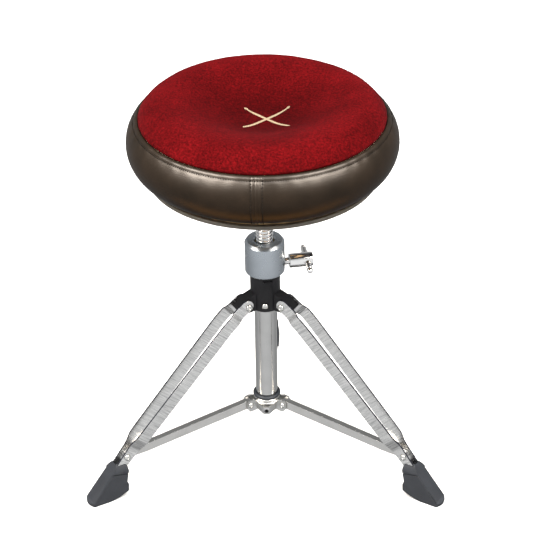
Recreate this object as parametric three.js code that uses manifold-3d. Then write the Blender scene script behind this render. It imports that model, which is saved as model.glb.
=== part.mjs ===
// A drum throne: a round upholstered seat on a screw spindle, carried by a clamping collar
// and a folding tripod with three double-strip legs and three channel braces.
// Millimetres, +Z up, the player's front towards -Y. Heights are given on a scale on which the
// floor is at SOLE_Z; the whole throne is then raised to stand on z = 0. The column axis stands
// at y = COLUMN_Y, so that the origin is under the middle of the whole object.
import * as THREE from 'three';
import { mergeVertices } from 'three/addons/utils/BufferGeometryUtils.js';
import Module from 'manifold-3d';

const wasm = await Module();
wasm.setup();

// ---- driving dimensions ------------------------------------------------------------------
const GAP = 0.4; // clearance between pieces that touch or turn on each other
const DEG = Math.PI / 180;
const SEAT_FACETS = 32; // sides of a turned seat piece
const ROUND_FACETS = 24; // sides of the column pieces
const SMALL_FACETS = 12; // sides of pins, screws and holes

const SEAT_R = 165; // 13 inch seat, at its widest
const TOE_R = 262.5; // outer end of a foot
const COLUMN_Y = (SEAT_R - TOE_R) / 2; // centres the object between the seat's front and the rear toe
const SOLE_Z = -0.7; // the floor, on the scale that the other heights are given in
const SEAT_EQUATOR_Z = 456;
const SEAT_BOTTOM_R = 141;
const SEAT_BOTTOM_Z = 421;
const SEAM_R = 150; // seam between the side band and the top panel
const SEAM_Z = 489;
const CROWN_R = 118; // highest ring of the top
const CROWN_Z = 510;
const DISH_Z = 482; // centre of the top
const SKIN = 1.5; // cover material
const BOARD_R = 137.5;
const BOARD_LOW_Z = 413;
const BOARD_HIGH_Z = 425;
const BRACKET_PLATE = 3; // thickness of the bracket's plate
const T_NUT_RECESS = 2; // depth of the T-nut flange's recess in the board
const BOLT_PITCH = 38; // bracket bolts, from the axis, in x and in y
const CLAMP_BOLT_Z = BOARD_LOW_Z - 26.5; // clamps the bracket on the spindle
const CLAMP_BOLT_AZIMUTH = 45 * DEG;

const SPINDLE_R = 11; // Tr22 x 5, made plain
const SPINDLE_LOW_Z = 150;
const SPINDLE_HIGH_Z = BOARD_LOW_Z - 4.5;
const COLLAR_R = 25.3;
const COLLAR_LOW_Z = 270.5;
const COLLAR_HIGH_Z = 316;
const LOCK_Z = 280; // locking T-bolt
const LOCK_AZIMUTH = 11 * DEG;
const HUB_R = 19.2;
const HUB_LOW_Z = 217.8;
const HUB_HIGH_Z = COLLAR_LOW_Z - GAP;
const HUB_SCREW_Z = 228;
const TUBE_R = 14.3; // 1 1/8 inch tube
const TUBE_BORE_R = 12.6;
const TUBE_LOW_Z = 60;
const TUBE_HIGH_Z = 273.5;
const CASTING_R = 17.8;
const CASTING_LOW_Z = 63;
const CASTING_HIGH_Z = 78;

const PIN_R = 2.5; // pivot pins and rivets
const HUB_PIVOT = new THREE.Vector2(28.8, 227.6); // radius and height of each pivot
const LEG_TOP = new THREE.Vector2(30.2, 230.3); // on a strip's middle line, just above the pivot
const LEG_KINK = new THREE.Vector2(55, 213.2);
const LEG_RIVET = new THREE.Vector2(206.6, 56.4);
const BRACE_PIVOT = new THREE.Vector2(27.6, 72.4);
const STRIP_HALF_HEIGHT = 8.5;
const STRIP_THICKNESS = 2.5;
const STRIP_TAIL = 34; // how far a strip runs past the rivet, into the foot
const PIN_SPREAD = 9; // strip middle from the leg's middle plane, at the hub pin
const WIDE_SPREAD = 12.5; // just past the hub lug
const SLIM_SPREAD = 10; // where the strips start to close in again
const FOOT_SPREAD = 5.6; // at the rivet and in the foot
const SLOPE_HIGH = new THREE.Vector2(221.3, 50.5); // the foot's outer slope
const SLOPE_LOW = new THREE.Vector2(257.6, 4.3);
const FOOT_WALL = 2; // rubber over the strips, at the slope
const BRACE_WIDTH = 7.6;
const BRACE_HALF_HEIGHT = 6;
const BRACE_END_HALF_HEIGHT = 3.8;
const BRACE_WALL = 1.2;
const EAR_THICKNESS = 3;
const SPOKES = { left: 210 * DEG, right: 330 * DEG, rear: 90 * DEG }; // leg azimuths

// ---- materials ---------------------------------------------------------------------------
function finish(color, roughness, metalness) {
  return new THREE.MeshStandardMaterial({ color, roughness, metalness });
}
const suede = finish(0x8e1019, 0.95, 0);
const vinyl = finish(0x2b2520, 0.42, 0);
const foam = finish(0xd9cfae, 0.95, 0);
const plywood = finish(0xb98d58, 0.7, 0);
const trimPlastic = finish(0x4a443c, 0.4, 0);
const coverCloth = finish(0x17171a, 0.95, 0);
const chrome = finish(0xd4d2cf, 0.12, 1);
const satinChrome = finish(0xb4b4b6, 0.32, 1);
const zincCasting = finish(0xb0aeaa, 0.38, 1);
const zincPlate = finish(0xa8a69c, 0.3, 1);
const blackSteel = finish(0x18181a, 0.45, 0.6);
const blackPlastic = finish(0x1b1b1d, 0.45, 0);
const nylon = finish(0xe6e2d6, 0.5, 0);
const brass = finish(0xb9923f, 0.3, 1);
const ringRubber = finish(0x1d2228, 0.75, 0);
const footRubber = finish(0x474b53, 0.7, 0);

const upperDirection = LEG_KINK.clone().sub(LEG_TOP).normalize(); // of a leg strip
const mainDirection = LEG_RIVET.clone().sub(LEG_KINK).normalize();

// ---- shape helpers -----------------------------------------------------------------------
// Points on an ellipse arc in the (radius, height) plane; angle 0 points outward.
function arc(centreR, centreZ, a, b, from, to, steps) {
  const points = [];
  for (let i = 0; i <= steps; i += 1) {
    const angle = from + ((to - from) * i) / steps;
    points.push(new THREE.Vector2(centreR + a * Math.cos(angle), centreZ + b * Math.sin(angle)));
  }
  return points;
}

// The same open outline moved to its left side by a distance, for the inner face of a skin.
function inset(points, distance) {
  return points.map((point, i) => {
    const before = points[Math.max(i - 1, 0)];
    const after = points[Math.min(i + 1, points.length - 1)];
    const along = after.clone().sub(before).normalize();
    return new THREE.Vector2(point.x - along.y * distance, point.y + along.x * distance);
  });
}

// A solid turned about Z. The profile lists (radius, height) with the material on its left.
function turned(profile, segments = ROUND_FACETS) {
  const points = profile.map(([r, z]) => new THREE.Vector2(r, z));
  return new THREE.LatheGeometry(points, segments).rotateX(Math.PI / 2);
}

// A turned ring between two radii, with an optional chamfer on its outer edges.
function ring(innerR, outerR, lowZ, highZ, chamfer = 0, segments = ROUND_FACETS) {
  const profile = [[innerR, lowZ], [outerR - chamfer, lowZ]];
  if (chamfer > 0) {
    profile.push([outerR, lowZ + chamfer], [outerR, highZ - chamfer]);
    profile.push([outerR - chamfer, highZ]);
  } else {
    profile.push([outerR, highZ]);
  }
  profile.push([innerR, highZ], [innerR, lowZ]);
  return turned(profile, segments);
}

function toVectors(pairs) {
  return pairs.map(([x, y]) => new THREE.Vector2(x, y));
}

// A plate standing in a spoke's plane: outline in (radius, height), thickness across it.
function plate(shape, thickness, bevel = 0) {
  const geometry = new THREE.ExtrudeGeometry(shape, {
    depth: thickness - 2 * bevel,
    bevelEnabled: bevel > 0,
    bevelSize: bevel,
    bevelThickness: bevel,
    bevelOffset: -bevel,
    bevelSegments: 1,
    curveSegments: 6,
  });
  return geometry.translate(0, 0, bevel - thickness / 2).rotateX(Math.PI / 2);
}

// A round bar across a spoke's plane, at a radius and a height.
function crossBar(radius, length, at, segments = SMALL_FACETS) {
  return new THREE.CylinderGeometry(radius, radius, length, segments).translate(at.x, 0, at.y);
}

// A round bar along +X, from one distance to another.
function outwardBar(radius, from, to, z, segments = SMALL_FACETS) {
  const bar = new THREE.CylinderGeometry(radius, radius, to - from, segments);
  return bar.rotateZ(-Math.PI / 2).translate((from + to) / 2, 0, z);
}

function verticalBar(radius, lowZ, highZ, segments = SMALL_FACETS) {
  const bar = new THREE.CylinderGeometry(radius, radius, highZ - lowZ, segments);
  return bar.rotateX(Math.PI / 2).translate(0, 0, (lowZ + highZ) / 2);
}

function block(x0, x1, y0, y1, z0, z1) {
  const box = new THREE.BoxGeometry(x1 - x0, y1 - y0, z1 - z0);
  return box.translate((x0 + x1) / 2, (y0 + y1) / 2, (z0 + z1) / 2);
}

// ---- joining and cutting -----------------------------------------------------------------
function toManifold(geometry) {
  const bare = geometry.clone();
  bare.deleteAttribute('normal');
  bare.deleteAttribute('uv');
  const merged = mergeVertices(bare, 1e-4);
  return new wasm.Manifold(new wasm.Mesh({
    numProp: 3,
    vertProperties: new Float32Array(merged.attributes.position.array),
    triVerts: new Uint32Array(merged.index.array),
  }));
}

function toGeometry(manifold) {
  const mesh = manifold.getMesh();
  const geometry = new THREE.BufferGeometry();
  geometry.setAttribute('position', new THREE.BufferAttribute(mesh.vertProperties, 3));
  geometry.setIndex(new THREE.BufferAttribute(mesh.triVerts, 1));
  return geometry;
}

function join(first, ...others) {
  const sum = others.reduce((solid, next) => solid.add(toManifold(next)), toManifold(first));
  return toGeometry(sum);
}

function cut(first, ...others) {
  const rest = others.reduce((solid, next) => solid.subtract(toManifold(next)), toManifold(first));
  return toGeometry(rest);
}

function common(first, ...others) {
  const rest = others.reduce((solid, next) => solid.intersect(toManifold(next)), toManifold(first));
  return toGeometry(rest);
}

function onEverySpoke(build) {
  return Object.values(SPOKES).map((azimuth) => build().rotateZ(azimuth));
}

// ---- the object --------------------------------------------------------------------------
const throne = new THREE.Group();
throne.position.set(0, COLUMN_Y, -SOLE_Z);

function add(name, geometry, material, parent = throne) {
  const mesh = new THREE.Mesh(geometry, material);
  mesh.name = name;
  parent.add(mesh);
  return mesh;
}

// ---- seat --------------------------------------------------------------------------------
// Side of the seat from the bottom edge, out round the equator and in to the seam.
function sideOutline() {
  const lowEnd = 70 * DEG;
  const highEnd = 60 * DEG;
  const lowA = (SEAT_R - SEAT_BOTTOM_R) / (1 - Math.cos(lowEnd));
  const lowB = (SEAT_EQUATOR_Z - SEAT_BOTTOM_Z) / Math.sin(lowEnd);
  const highA = (SEAT_R - SEAM_R) / (1 - Math.cos(highEnd));
  const highB = (SEAM_Z - SEAT_EQUATOR_Z) / Math.sin(highEnd);
  const low = arc(SEAT_R - lowA, SEAT_EQUATOR_Z, lowA, lowB, -lowEnd, 0, 4);
  const high = arc(SEAT_R - highA, SEAT_EQUATOR_Z, highA, highB, 0, highEnd, 4);
  return [...low, ...high.slice(1)];
}

// Top of the seat from the seam, over the crown and down into the dished centre.
function topOutline() {
  const rollEnd = 60 * DEG;
  const a = (SEAM_R - CROWN_R) / Math.sin(rollEnd);
  const b = (CROWN_Z - SEAM_Z) / (1 - Math.cos(rollEnd));
  const quarter = Math.PI / 2;
  const points = arc(CROWN_R, CROWN_Z - b, a, b, quarter - rollEnd, quarter, 4);
  const steps = 6;
  for (let i = steps - 1; i >= 0; i -= 1) {
    const rise = Math.sin(quarter * (i / steps) ** 0.85) ** 2;
    points.push(new THREE.Vector2((CROWN_R * i) / steps, DISH_Z + (CROWN_Z - DISH_Z) * rise));
  }
  return points;
}

function latheSkin(outer, thickness) {
  const inner = inset(outer, thickness);
  const closed = [...outer, ...inner.reverse(), outer[0]];
  return closed.map((point) => [Math.max(point.x, 0), point.y]);
}

function seatSideBand() {
  return turned(latheSkin(sideOutline(), SKIN), SEAT_FACETS);
}

function seatTopPanel() {
  const outer = topOutline();
  const inner = inset(outer, SKIN);
  inner[inner.length - 1].x = 0;
  const lifted = [...inner.reverse(), ...outer];
  const rimGap = GAP / 2;
  return turned(lifted.map((point) => [point.x, point.y + rimGap]), SEAT_FACETS);
}

function seatFoam() {
  const depth = SKIN + 3 * GAP;
  const side = inset(sideOutline(), depth).filter((point) => point.y > BOARD_HIGH_Z + GAP);
  const top = inset(topOutline(), depth);
  top[top.length - 1].x = 0;
  const flatR = side[0].x - 4;
  const profile = [[0, BOARD_HIGH_Z + GAP], [flatR, BOARD_HIGH_Z + GAP]];
  const rim = side.at(-1).lerp(top[0], 0.5);
  const outline = [...side.slice(0, -1), rim, ...top.slice(1)];
  outline.forEach((point) => profile.push([point.x, point.y]));
  return turned(profile, SEAT_FACETS);
}

// The four bracket bolts sit on the corners of a square.
function boltPlaces() {
  const places = [];
  for (const x of [-BOLT_PITCH, BOLT_PITCH]) {
    for (const y of [-BOLT_PITCH, BOLT_PITCH]) {
      places.push([x, y]);
    }
  }
  return places;
}

function seatBoard() {
  const disc = turned([[0, BOARD_LOW_Z], [BOARD_R, BOARD_LOW_Z], [BOARD_R, BOARD_HIGH_Z],
    [0, BOARD_HIGH_Z]], SEAT_FACETS);
  const holes = boltPlaces().flatMap(([x, y]) => [
    verticalBar(4.3, BOARD_LOW_Z - 1, BOARD_HIGH_Z + 1).translate(x, y, 0),
    verticalBar(9, BOARD_HIGH_Z - T_NUT_RECESS, BOARD_HIGH_Z + 1).translate(x, y, 0),
  ]);
  return cut(disc, ...holes);
}

function seatEdgeTrim() {
  const innerR = BOARD_R + GAP;
  const lowZ = BOARD_LOW_Z - 1;
  const outerR = SEAT_BOTTOM_R + 1;
  const round = 2;
  const corner = arc(outerR - round, lowZ + round, round, round, -Math.PI / 2, 0, 2);
  const profile = [[innerR, lowZ], ...corner.map((point) => [point.x, point.y])];
  profile.push([outerR, lowZ + 4.6], [outerR - 1, lowZ + 5.6], [innerR, lowZ + 5.6]);
  profile.push([innerR, lowZ]);
  return turned(profile, SEAT_FACETS);
}

function bracketTNut() {
  const flangeLow = BOARD_HIGH_Z - T_NUT_RECESS + GAP / 2;
  const profile = [[3.4, BOARD_HIGH_Z - 10], [3.9, BOARD_HIGH_Z - 10], [3.9, flangeLow],
    [8.5, flangeLow], [8.5, flangeLow + 1.2], [3.4, flangeLow + 1.2], [3.4, BOARD_HIGH_Z - 10]];
  return turned(profile, SMALL_FACETS);
}

function bracketBolt() {
  const plateLow = BOARD_LOW_Z - GAP - BRACKET_PLATE;
  const headHigh = plateLow - GAP;
  const head = verticalBar(5.6, headHigh - 4, headHigh, 6);
  return join(head, verticalBar(3, headHigh - 1, BOARD_HIGH_Z - 2.5));
}

// Square plate with a socket for the spindle, four gussets and a hole for the clamp bolt.
function seatBracket() {
  const plateHigh = BOARD_LOW_Z - GAP;
  const plateLow = plateHigh - BRACKET_PLATE;
  const socketLow = BOARD_LOW_Z - 45;
  const half = 50;
  const corner = 8;
  const outline = new THREE.Shape(toVectors([[-half + corner, -half], [half - corner, -half],
    [half, -half + corner], [half, half - corner], [half - corner, half],
    [-half + corner, half], [-half, half - corner], [-half, -half + corner]]));
  const flange = new THREE.ExtrudeGeometry(outline, { depth: BRACKET_PLATE, bevelEnabled: false });
  flange.translate(0, 0, plateLow);
  const gusset = new THREE.Shape(toVectors([[14, plateLow + 1], [44, plateLow + 1],
    [44, plateLow - 3], [17, socketLow + 8], [14, socketLow + 8]]));
  const gussets = [0, 1, 2, 3].map((i) => plate(gusset, 3).rotateZ((i * Math.PI) / 2));
  const socket = verticalBar(16.5, socketLow, plateHigh - 0.5, ROUND_FACETS);
  const body = join(flange, socket, ...gussets);
  const holes = boltPlaces().map(([x, y]) => (
    verticalBar(3.4, plateLow - 1, plateHigh + 1).translate(x, y, 0)));
  const bore = verticalBar(SPINDLE_R + GAP, socketLow - 1, plateHigh + 1, ROUND_FACETS);
  const boltHole = outwardBar(4.4, 8, 20, CLAMP_BOLT_Z).rotateZ(CLAMP_BOLT_AZIMUTH);
  return cut(body, bore, boltHole, ...holes);
}

function bracketClampBolt() {
  const shank = outwardBar(4, SPINDLE_R + GAP, 22, CLAMP_BOLT_Z);
  const head = outwardBar(7.4, 21, 26.5, CLAMP_BOLT_Z, 6);
  return join(shank, head).rotateZ(CLAMP_BOLT_AZIMUTH);
}

function dustCover() {
  return ring(72, BOARD_R - 2, BOARD_LOW_Z - GAP - 0.8, BOARD_LOW_Z - GAP, 0, SEAT_FACETS);
}

// ---- spindle and its guide ---------------------------------------------------------------
const GUIDE_SCREW_R = 2.5;
const GUIDE_LENGTH = 8;

function spindle() {
  const chamfer = 1.5;
  const holeR = GUIDE_SCREW_R + GAP;
  const holeTop = SPINDLE_LOW_Z + 14;
  return turned([[holeR, SPINDLE_LOW_Z], [SPINDLE_R - chamfer, SPINDLE_LOW_Z],
    [SPINDLE_R, SPINDLE_LOW_Z + chamfer], [SPINDLE_R, SPINDLE_HIGH_Z - chamfer],
    [SPINDLE_R - chamfer, SPINDLE_HIGH_Z], [0, SPINDLE_HIGH_Z], [0, holeTop],
    [holeR, holeTop], [holeR, SPINDLE_LOW_Z]]);
}

function spindleGuide() {
  const highZ = SPINDLE_LOW_Z - GAP;
  return ring(GUIDE_SCREW_R + GAP, TUBE_BORE_R - GAP, highZ - GUIDE_LENGTH, highZ, 1, SMALL_FACETS * 2);
}

function guideScrew() {
  const headHigh = SPINDLE_LOW_Z - 2 * GAP - GUIDE_LENGTH;
  return turned([[0, headHigh - 3], [4, headHigh - 3], [5, headHigh - 2], [5, headHigh],
    [GUIDE_SCREW_R, headHigh], [GUIDE_SCREW_R, SPINDLE_LOW_Z + 12],
    [0, SPINDLE_LOW_Z + 12]], SMALL_FACETS);
}

// ---- collar, threaded bush and lock ------------------------------------------------------
const BUSH_R = 16.3;
const COLLAR_LID = 6; // thickness of the collar above the bush
const LOCK_PLUG_TO = 17.4; // outer end of the brass plug, from the axis

function lockHole(radius, from, to) {
  return outwardBar(radius, from, to, LOCK_Z).rotateZ(LOCK_AZIMUTH);
}

function collarHousing() {
  const boreR = BUSH_R + GAP;
  const mouthR = SPINDLE_R + 1.4;
  const chamfer = 2.6;
  const shoulderZ = TUBE_HIGH_Z + GAP;
  const ceilingZ = COLLAR_HIGH_Z - COLLAR_LID;
  const profile = [[TUBE_R + GAP, COLLAR_LOW_Z], [COLLAR_R - 1.2, COLLAR_LOW_Z],
    [COLLAR_R, COLLAR_LOW_Z + 1.6], [COLLAR_R, COLLAR_HIGH_Z - 4],
    [COLLAR_R - chamfer, COLLAR_HIGH_Z], [mouthR + 1.5, COLLAR_HIGH_Z],
    [mouthR, COLLAR_HIGH_Z - 1.5], [mouthR, ceilingZ], [boreR, ceilingZ],
    [boreR, shoulderZ], [TUBE_R + GAP, shoulderZ], [TUBE_R + GAP, COLLAR_LOW_Z]];
  return cut(turned(profile), lockHole(5.3, boreR - 3, COLLAR_R + 5));
}

function threadedBush() {
  const lowZ = TUBE_HIGH_Z + 2 * GAP;
  const highZ = COLLAR_HIGH_Z - COLLAR_LID - GAP;
  const body = ring(SPINDLE_R + GAP, BUSH_R, lowZ, highZ);
  return cut(body, lockHole(4.3, 8, BUSH_R + 5));
}

function lockPlug() {
  return outwardBar(3.9, SPINDLE_R + GAP, LOCK_PLUG_TO, LOCK_Z).rotateZ(LOCK_AZIMUTH);
}

// The T-bolt: threaded shank, wide barrel and a cross hole for the loose bar.
const T_BARREL_R = 9.3;
const T_BARREL_FROM = 30.8;
const T_BARREL_TO = 61;
const T_BAR_AT = 53.5;
const T_BAR_R = 3.8;
const T_BAR_LENGTH = 55;
const T_BAR_TILT = 7 * DEG;

function tBolt() {
  const tip = LOCK_PLUG_TO + GAP;
  const profile = [[0, tip], [4.6, tip], [5, tip + 0.8], [5, T_BARREL_FROM],
    [T_BARREL_R - 0.8, T_BARREL_FROM], [T_BARREL_R, T_BARREL_FROM + 1],
    [T_BARREL_R, T_BARREL_TO - 1], [T_BARREL_R - 0.8, T_BARREL_TO], [0, T_BARREL_TO]];
  const points = profile.map(([r, along]) => new THREE.Vector2(r, along));
  const body = new THREE.LatheGeometry(points, 24).rotateZ(-Math.PI / 2);
  const hole = new THREE.CylinderGeometry(T_BAR_R + GAP, T_BAR_R + GAP, 30, SMALL_FACETS);
  hole.rotateX(T_BAR_TILT).translate(T_BAR_AT, 0, 0);
  return cut(body, hole).translate(0, 0, LOCK_Z).rotateZ(LOCK_AZIMUTH);
}

function tBar() {
  const half = T_BAR_LENGTH / 2;
  const end = arc(0, half - T_BAR_R, T_BAR_R, T_BAR_R, 0, Math.PI / 2, 3);
  const start = arc(0, T_BAR_R - half, T_BAR_R, T_BAR_R, -Math.PI / 2, 0, 3);
  const profile = [...start, ...end];
  profile[0].x = 0;
  profile[profile.length - 1].x = 0;
  const bar = new THREE.LatheGeometry(profile, SMALL_FACETS).rotateX(T_BAR_TILT);
  return bar.translate(T_BAR_AT, 0, LOCK_Z).rotateZ(LOCK_AZIMUTH);
}

// ---- hub and column tube -----------------------------------------------------------------
const LUG_WIDTH = 15;
const LIP_AZIMUTH = -78 * DEG; // a short moulded lip under the collar

function hubLug() {
  const up = new THREE.Vector2(-upperDirection.y, upperDirection.x);
  const tip = HUB_PIVOT.clone().addScaledVector(upperDirection, 13);
  const tipHigh = tip.clone().addScaledVector(up, 7);
  const tipLow = tip.clone().addScaledVector(up, -5.5);
  const inner = TUBE_R + 1.5;
  const outline = new THREE.Shape(toVectors([[inner, HUB_LOW_Z + 1], [HUB_PIVOT.x, HUB_LOW_Z],
    [tipLow.x, tipLow.y], [tipHigh.x, tipHigh.y], [HUB_PIVOT.x + 4.2, HUB_PIVOT.y + 10.4],
    [inner, HUB_PIVOT.y + 16.4]]));
  return plate(outline, LUG_WIDTH);
}

function hub() {
  const body = ring(TUBE_R + GAP, HUB_R, HUB_LOW_Z, HUB_HIGH_Z, 1);
  const lugs = onEverySpoke(hubLug);
  const lipHigh = HUB_HIGH_Z - 5.9;
  const lip = block(HUB_R - 2, HUB_R + 1.6, -6, 6, lipHigh - 1.8, lipHigh).rotateZ(LIP_AZIMUTH);
  const whole = join(body, lip, ...lugs);
  const pinHoles = onEverySpoke(() => crossBar(PIN_R + GAP, 30, HUB_PIVOT));
  const screwHoles = hubScrewAzimuths().map((azimuth) => (
    outwardBar(2.4, TUBE_R - 1, HUB_R + 3, HUB_SCREW_Z).rotateZ(azimuth)));
  const clear = verticalBar(TUBE_R + GAP, HUB_LOW_Z - 5, HUB_HIGH_Z + 5, ROUND_FACETS);
  return cut(whole, clear, ...pinHoles, ...screwHoles);
}

// The hub screws sit opposite the legs.
function hubScrewAzimuths() {
  return Object.values(SPOKES).map((azimuth) => azimuth + Math.PI);
}

function hubScrew() {
  const seatR = HUB_R + GAP;
  const points = toVectors([[0, TUBE_R + GAP], [2, TUBE_R + GAP], [2, seatR], [4, seatR],
    [4, seatR + 1], [2.8, seatR + 2.2], [0, seatR + 2.6]]);
  return new THREE.LatheGeometry(points, SMALL_FACETS).rotateZ(-Math.PI / 2).translate(0, 0, HUB_SCREW_Z);
}

function columnTube() {
  return ring(TUBE_BORE_R, TUBE_R, TUBE_LOW_Z, TUBE_HIGH_Z, 0.6);
}

function tubeEndPlug() {
  const flangeHigh = TUBE_LOW_Z - GAP;
  const spigotR = TUBE_BORE_R - GAP;
  return turned([[0, flangeHigh - 3], [TUBE_R - 1, flangeHigh - 3], [TUBE_R, flangeHigh - 2],
    [TUBE_R, flangeHigh], [spigotR, flangeHigh], [spigotR, flangeHigh + 12],
    [0, flangeHigh + 12]]);
}

// ---- lower casting -----------------------------------------------------------------------
const EAR_MIDDLE = (BRACE_WIDTH + EAR_THICKNESS) / 2 + GAP;
const SET_SCREW_Z = 68.5;

function castingEar(side) {
  const fromPivot = toVectors([[-13.1, -8.4], [-3.6, -10.2], [1.9, -9.8], [4.6, -5.4],
    [4.6, 2.6], [1.9, 6.8], [-3.6, 7.6], [-13.1, 4.6]]);
  const outline = new THREE.Shape(fromPivot.map((point) => point.add(BRACE_PIVOT)));
  return plate(outline, EAR_THICKNESS).translate(0, side * EAR_MIDDLE, 0);
}

// A sloped boss on the front with a threaded hole for the set screw.
function castingBoss() {
  const outline = new THREE.Shape(toVectors([[12, -11.5], [16, -11.5], [26.6, -4.2],
    [27.6, -3], [27.6, 3], [26.6, 4.2], [16, 11.5], [12, 11.5]]));
  const depth = 11;
  const boss = new THREE.ExtrudeGeometry(outline, { depth, bevelEnabled: false });
  return boss.translate(0, 0, CASTING_LOW_Z + 0.5).rotateZ(-Math.PI / 2);
}

function lowerCasting() {
  const body = ring(TUBE_R + GAP, CASTING_R, CASTING_LOW_Z, CASTING_HIGH_Z, 0.8);
  const ears = [-1, 1].flatMap((side) => onEverySpoke(() => castingEar(side)));
  const whole = join(body, castingBoss(), ...ears);
  const pinHoles = onEverySpoke(() => crossBar(PIN_R + GAP, 30, BRACE_PIVOT));
  const screwHole = outwardBar(3, TUBE_R - 1, 40, SET_SCREW_Z).rotateZ(-Math.PI / 2);
  const clear = verticalBar(TUBE_R + GAP, CASTING_LOW_Z - 5, CASTING_HIGH_Z + 5, ROUND_FACETS);
  return cut(whole, clear, screwHole, ...pinHoles);
}

function setScrew() {
  const screw = outwardBar(2.6, TUBE_R + GAP, 24, SET_SCREW_Z);
  return cut(screw, outwardBar(1.5, 21, 30, SET_SCREW_Z, 6)).rotateZ(-Math.PI / 2);
}

function rubberRing() {
  const lowZ = CASTING_HIGH_Z + GAP;
  const bulge = arc(CASTING_R - 2.2, lowZ + 2.4, 2.4, 2.4, -Math.PI / 2, Math.PI / 2, 4);
  const innerR = TUBE_R + GAP;
  const profile = [[innerR, lowZ], ...bulge.map((point) => [point.x, point.y])];
  profile.push([innerR, lowZ + 4.8], [innerR, lowZ]);
  return turned(profile);
}

// ---- pins --------------------------------------------------------------------------------
// A headed pin lying across a spoke: the shank reaches from one head to the other.
function headedPin(halfShank, headR, at) {
  const headHeight = 1.6;
  const tip = halfShank + headHeight;
  const points = toVectors([[0, -tip], [headR - 0.8, -tip], [headR, -halfShank],
    [PIN_R, -halfShank], [PIN_R, halfShank], [headR, halfShank], [headR - 0.8, tip], [0, tip]]);
  return new THREE.LatheGeometry(points, SMALL_FACETS).translate(at.x, 0, at.y);
}

// One half of the leg rivet: it holds one strip and stops short of the brace.
function halfRivet(side) {
  const inner = FOOT_SPREAD - STRIP_THICKNESS / 2;
  const outer = FOOT_SPREAD + STRIP_THICKNESS / 2 + GAP / 2;
  const points = toVectors([[0, inner], [PIN_R, inner], [PIN_R, outer], [4.2, outer],
    [3.4, outer + 1.6], [0, outer + 1.6]]);
  const rivet = new THREE.LatheGeometry(points, SMALL_FACETS);
  return rivet.rotateX(side < 0 ? Math.PI : 0).translate(LEG_RIVET.x, 0, LEG_RIVET.y);
}

// ---- legs --------------------------------------------------------------------------------
const KINK_RUN = 16; // length of each straight that the bend takes up

// The leg's middle line, from the end behind the hub pin to the end inside the foot.
function legLine() {
  const start = LEG_TOP.clone().addScaledVector(upperDirection, 1 - STRIP_HALF_HEIGHT);
  const bendStart = LEG_KINK.clone().addScaledVector(upperDirection, -KINK_RUN);
  const bendEnd = LEG_KINK.clone().addScaledVector(mainDirection, KINK_RUN);
  const end = LEG_RIVET.clone().addScaledVector(mainDirection, STRIP_TAIL);
  const path = new THREE.CurvePath();
  path.add(new THREE.LineCurve(start, bendStart));
  path.add(new THREE.QuadraticBezierCurve(bendStart, LEG_KINK, bendEnd));
  path.add(new THREE.LineCurve(bendEnd, end));
  return path;
}
const legPath = legLine();
const legLength = legPath.getLength();
const rivetAlong = legLength - STRIP_TAIL;
const OUT_BEND = [22, 33]; // where a strip bends out past the hub lug, along the leg line
const IN_BEND = [rivetAlong - 30, rivetAlong - 12]; // where it bends in before the rivet

// Distance of a strip from the leg's middle plane: out after the hub lug, in at the rivet.
function strayFromMiddle(along) {
  const smooth = THREE.MathUtils.smoothstep;
  const out = smooth(along, ...OUT_BEND) * (WIDE_SPREAD - PIN_SPREAD);
  const straight = IN_BEND[0] - OUT_BEND[1];
  const taper = THREE.MathUtils.clamp((along - OUT_BEND[1]) / straight, 0, 1);
  const slim = taper * (WIDE_SPREAD - SLIM_SPREAD);
  const close = smooth(along, ...IN_BEND) * (SLIM_SPREAD - FOOT_SPREAD);
  return PIN_SPREAD + out - slim - close;
}

function evenly([from, to], steps) {
  return Array.from({ length: steps + 1 }, (_, i) => from + ((to - from) * i) / steps);
}

// Cross-sections along a strip: [distance along, half height]. The first end is rounded.
function stripSections() {
  const sections = [];
  for (let i = 1; i <= 6; i += 1) {
    const angle = (i * Math.PI) / 12;
    const along = STRIP_HALF_HEIGHT * (1 - Math.cos(angle));
    sections.push([along, STRIP_HALF_HEIGHT * Math.sin(angle)]);
  }
  const stops = [...evenly(OUT_BEND, 4), ...evenly([40, 64], 4), ...evenly(IN_BEND, 4), legLength];
  stops.forEach((along) => sections.push([along, STRIP_HALF_HEIGHT]));
  return sections;
}

// A flat strip bent along the leg line, on one side of the middle plane.
function bentStrip(sections, thickness, heightMargin, middle) {
  const count = sections.length - 1;
  const geometry = new THREE.BoxGeometry(1, thickness, 2, count, 1, 1);
  const position = geometry.attributes.position;
  for (let i = 0; i < position.count; i += 1) {
    const index = Math.round((position.getX(i) + 0.5) * count);
    const [along, halfHeight] = sections[index];
    const share = Math.min(along / legLength, 1);
    const centre = legPath.getPointAt(share);
    const tangent = legPath.getTangentAt(share);
    const rise = position.getZ(i) * (halfHeight + heightMargin);
    const overrun = Math.max(along - legLength, 0);
    const x = centre.x - tangent.y * rise + tangent.x * overrun;
    const z = centre.y + tangent.x * rise + tangent.y * overrun;
    position.setXYZ(i, x, position.getY(i) + middle(along), z);
  }
  return geometry;
}

// Everything outward of the foot's outer slope, moved in by a wall thickness.
function beyondSlope(wall) {
  const edge = inset([SLOPE_LOW, SLOPE_HIGH], wall);
  const run = SLOPE_HIGH.clone().sub(SLOPE_LOW);
  const far = edge.map((point) => point.clone().add(new THREE.Vector2(run.y, -run.x)));
  const high = edge[1].clone().add(run);
  const farHigh = far[1].clone().add(run);
  return plate(new THREE.Shape([edge[0], far[0], farHigh, high]), 40);
}

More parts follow.
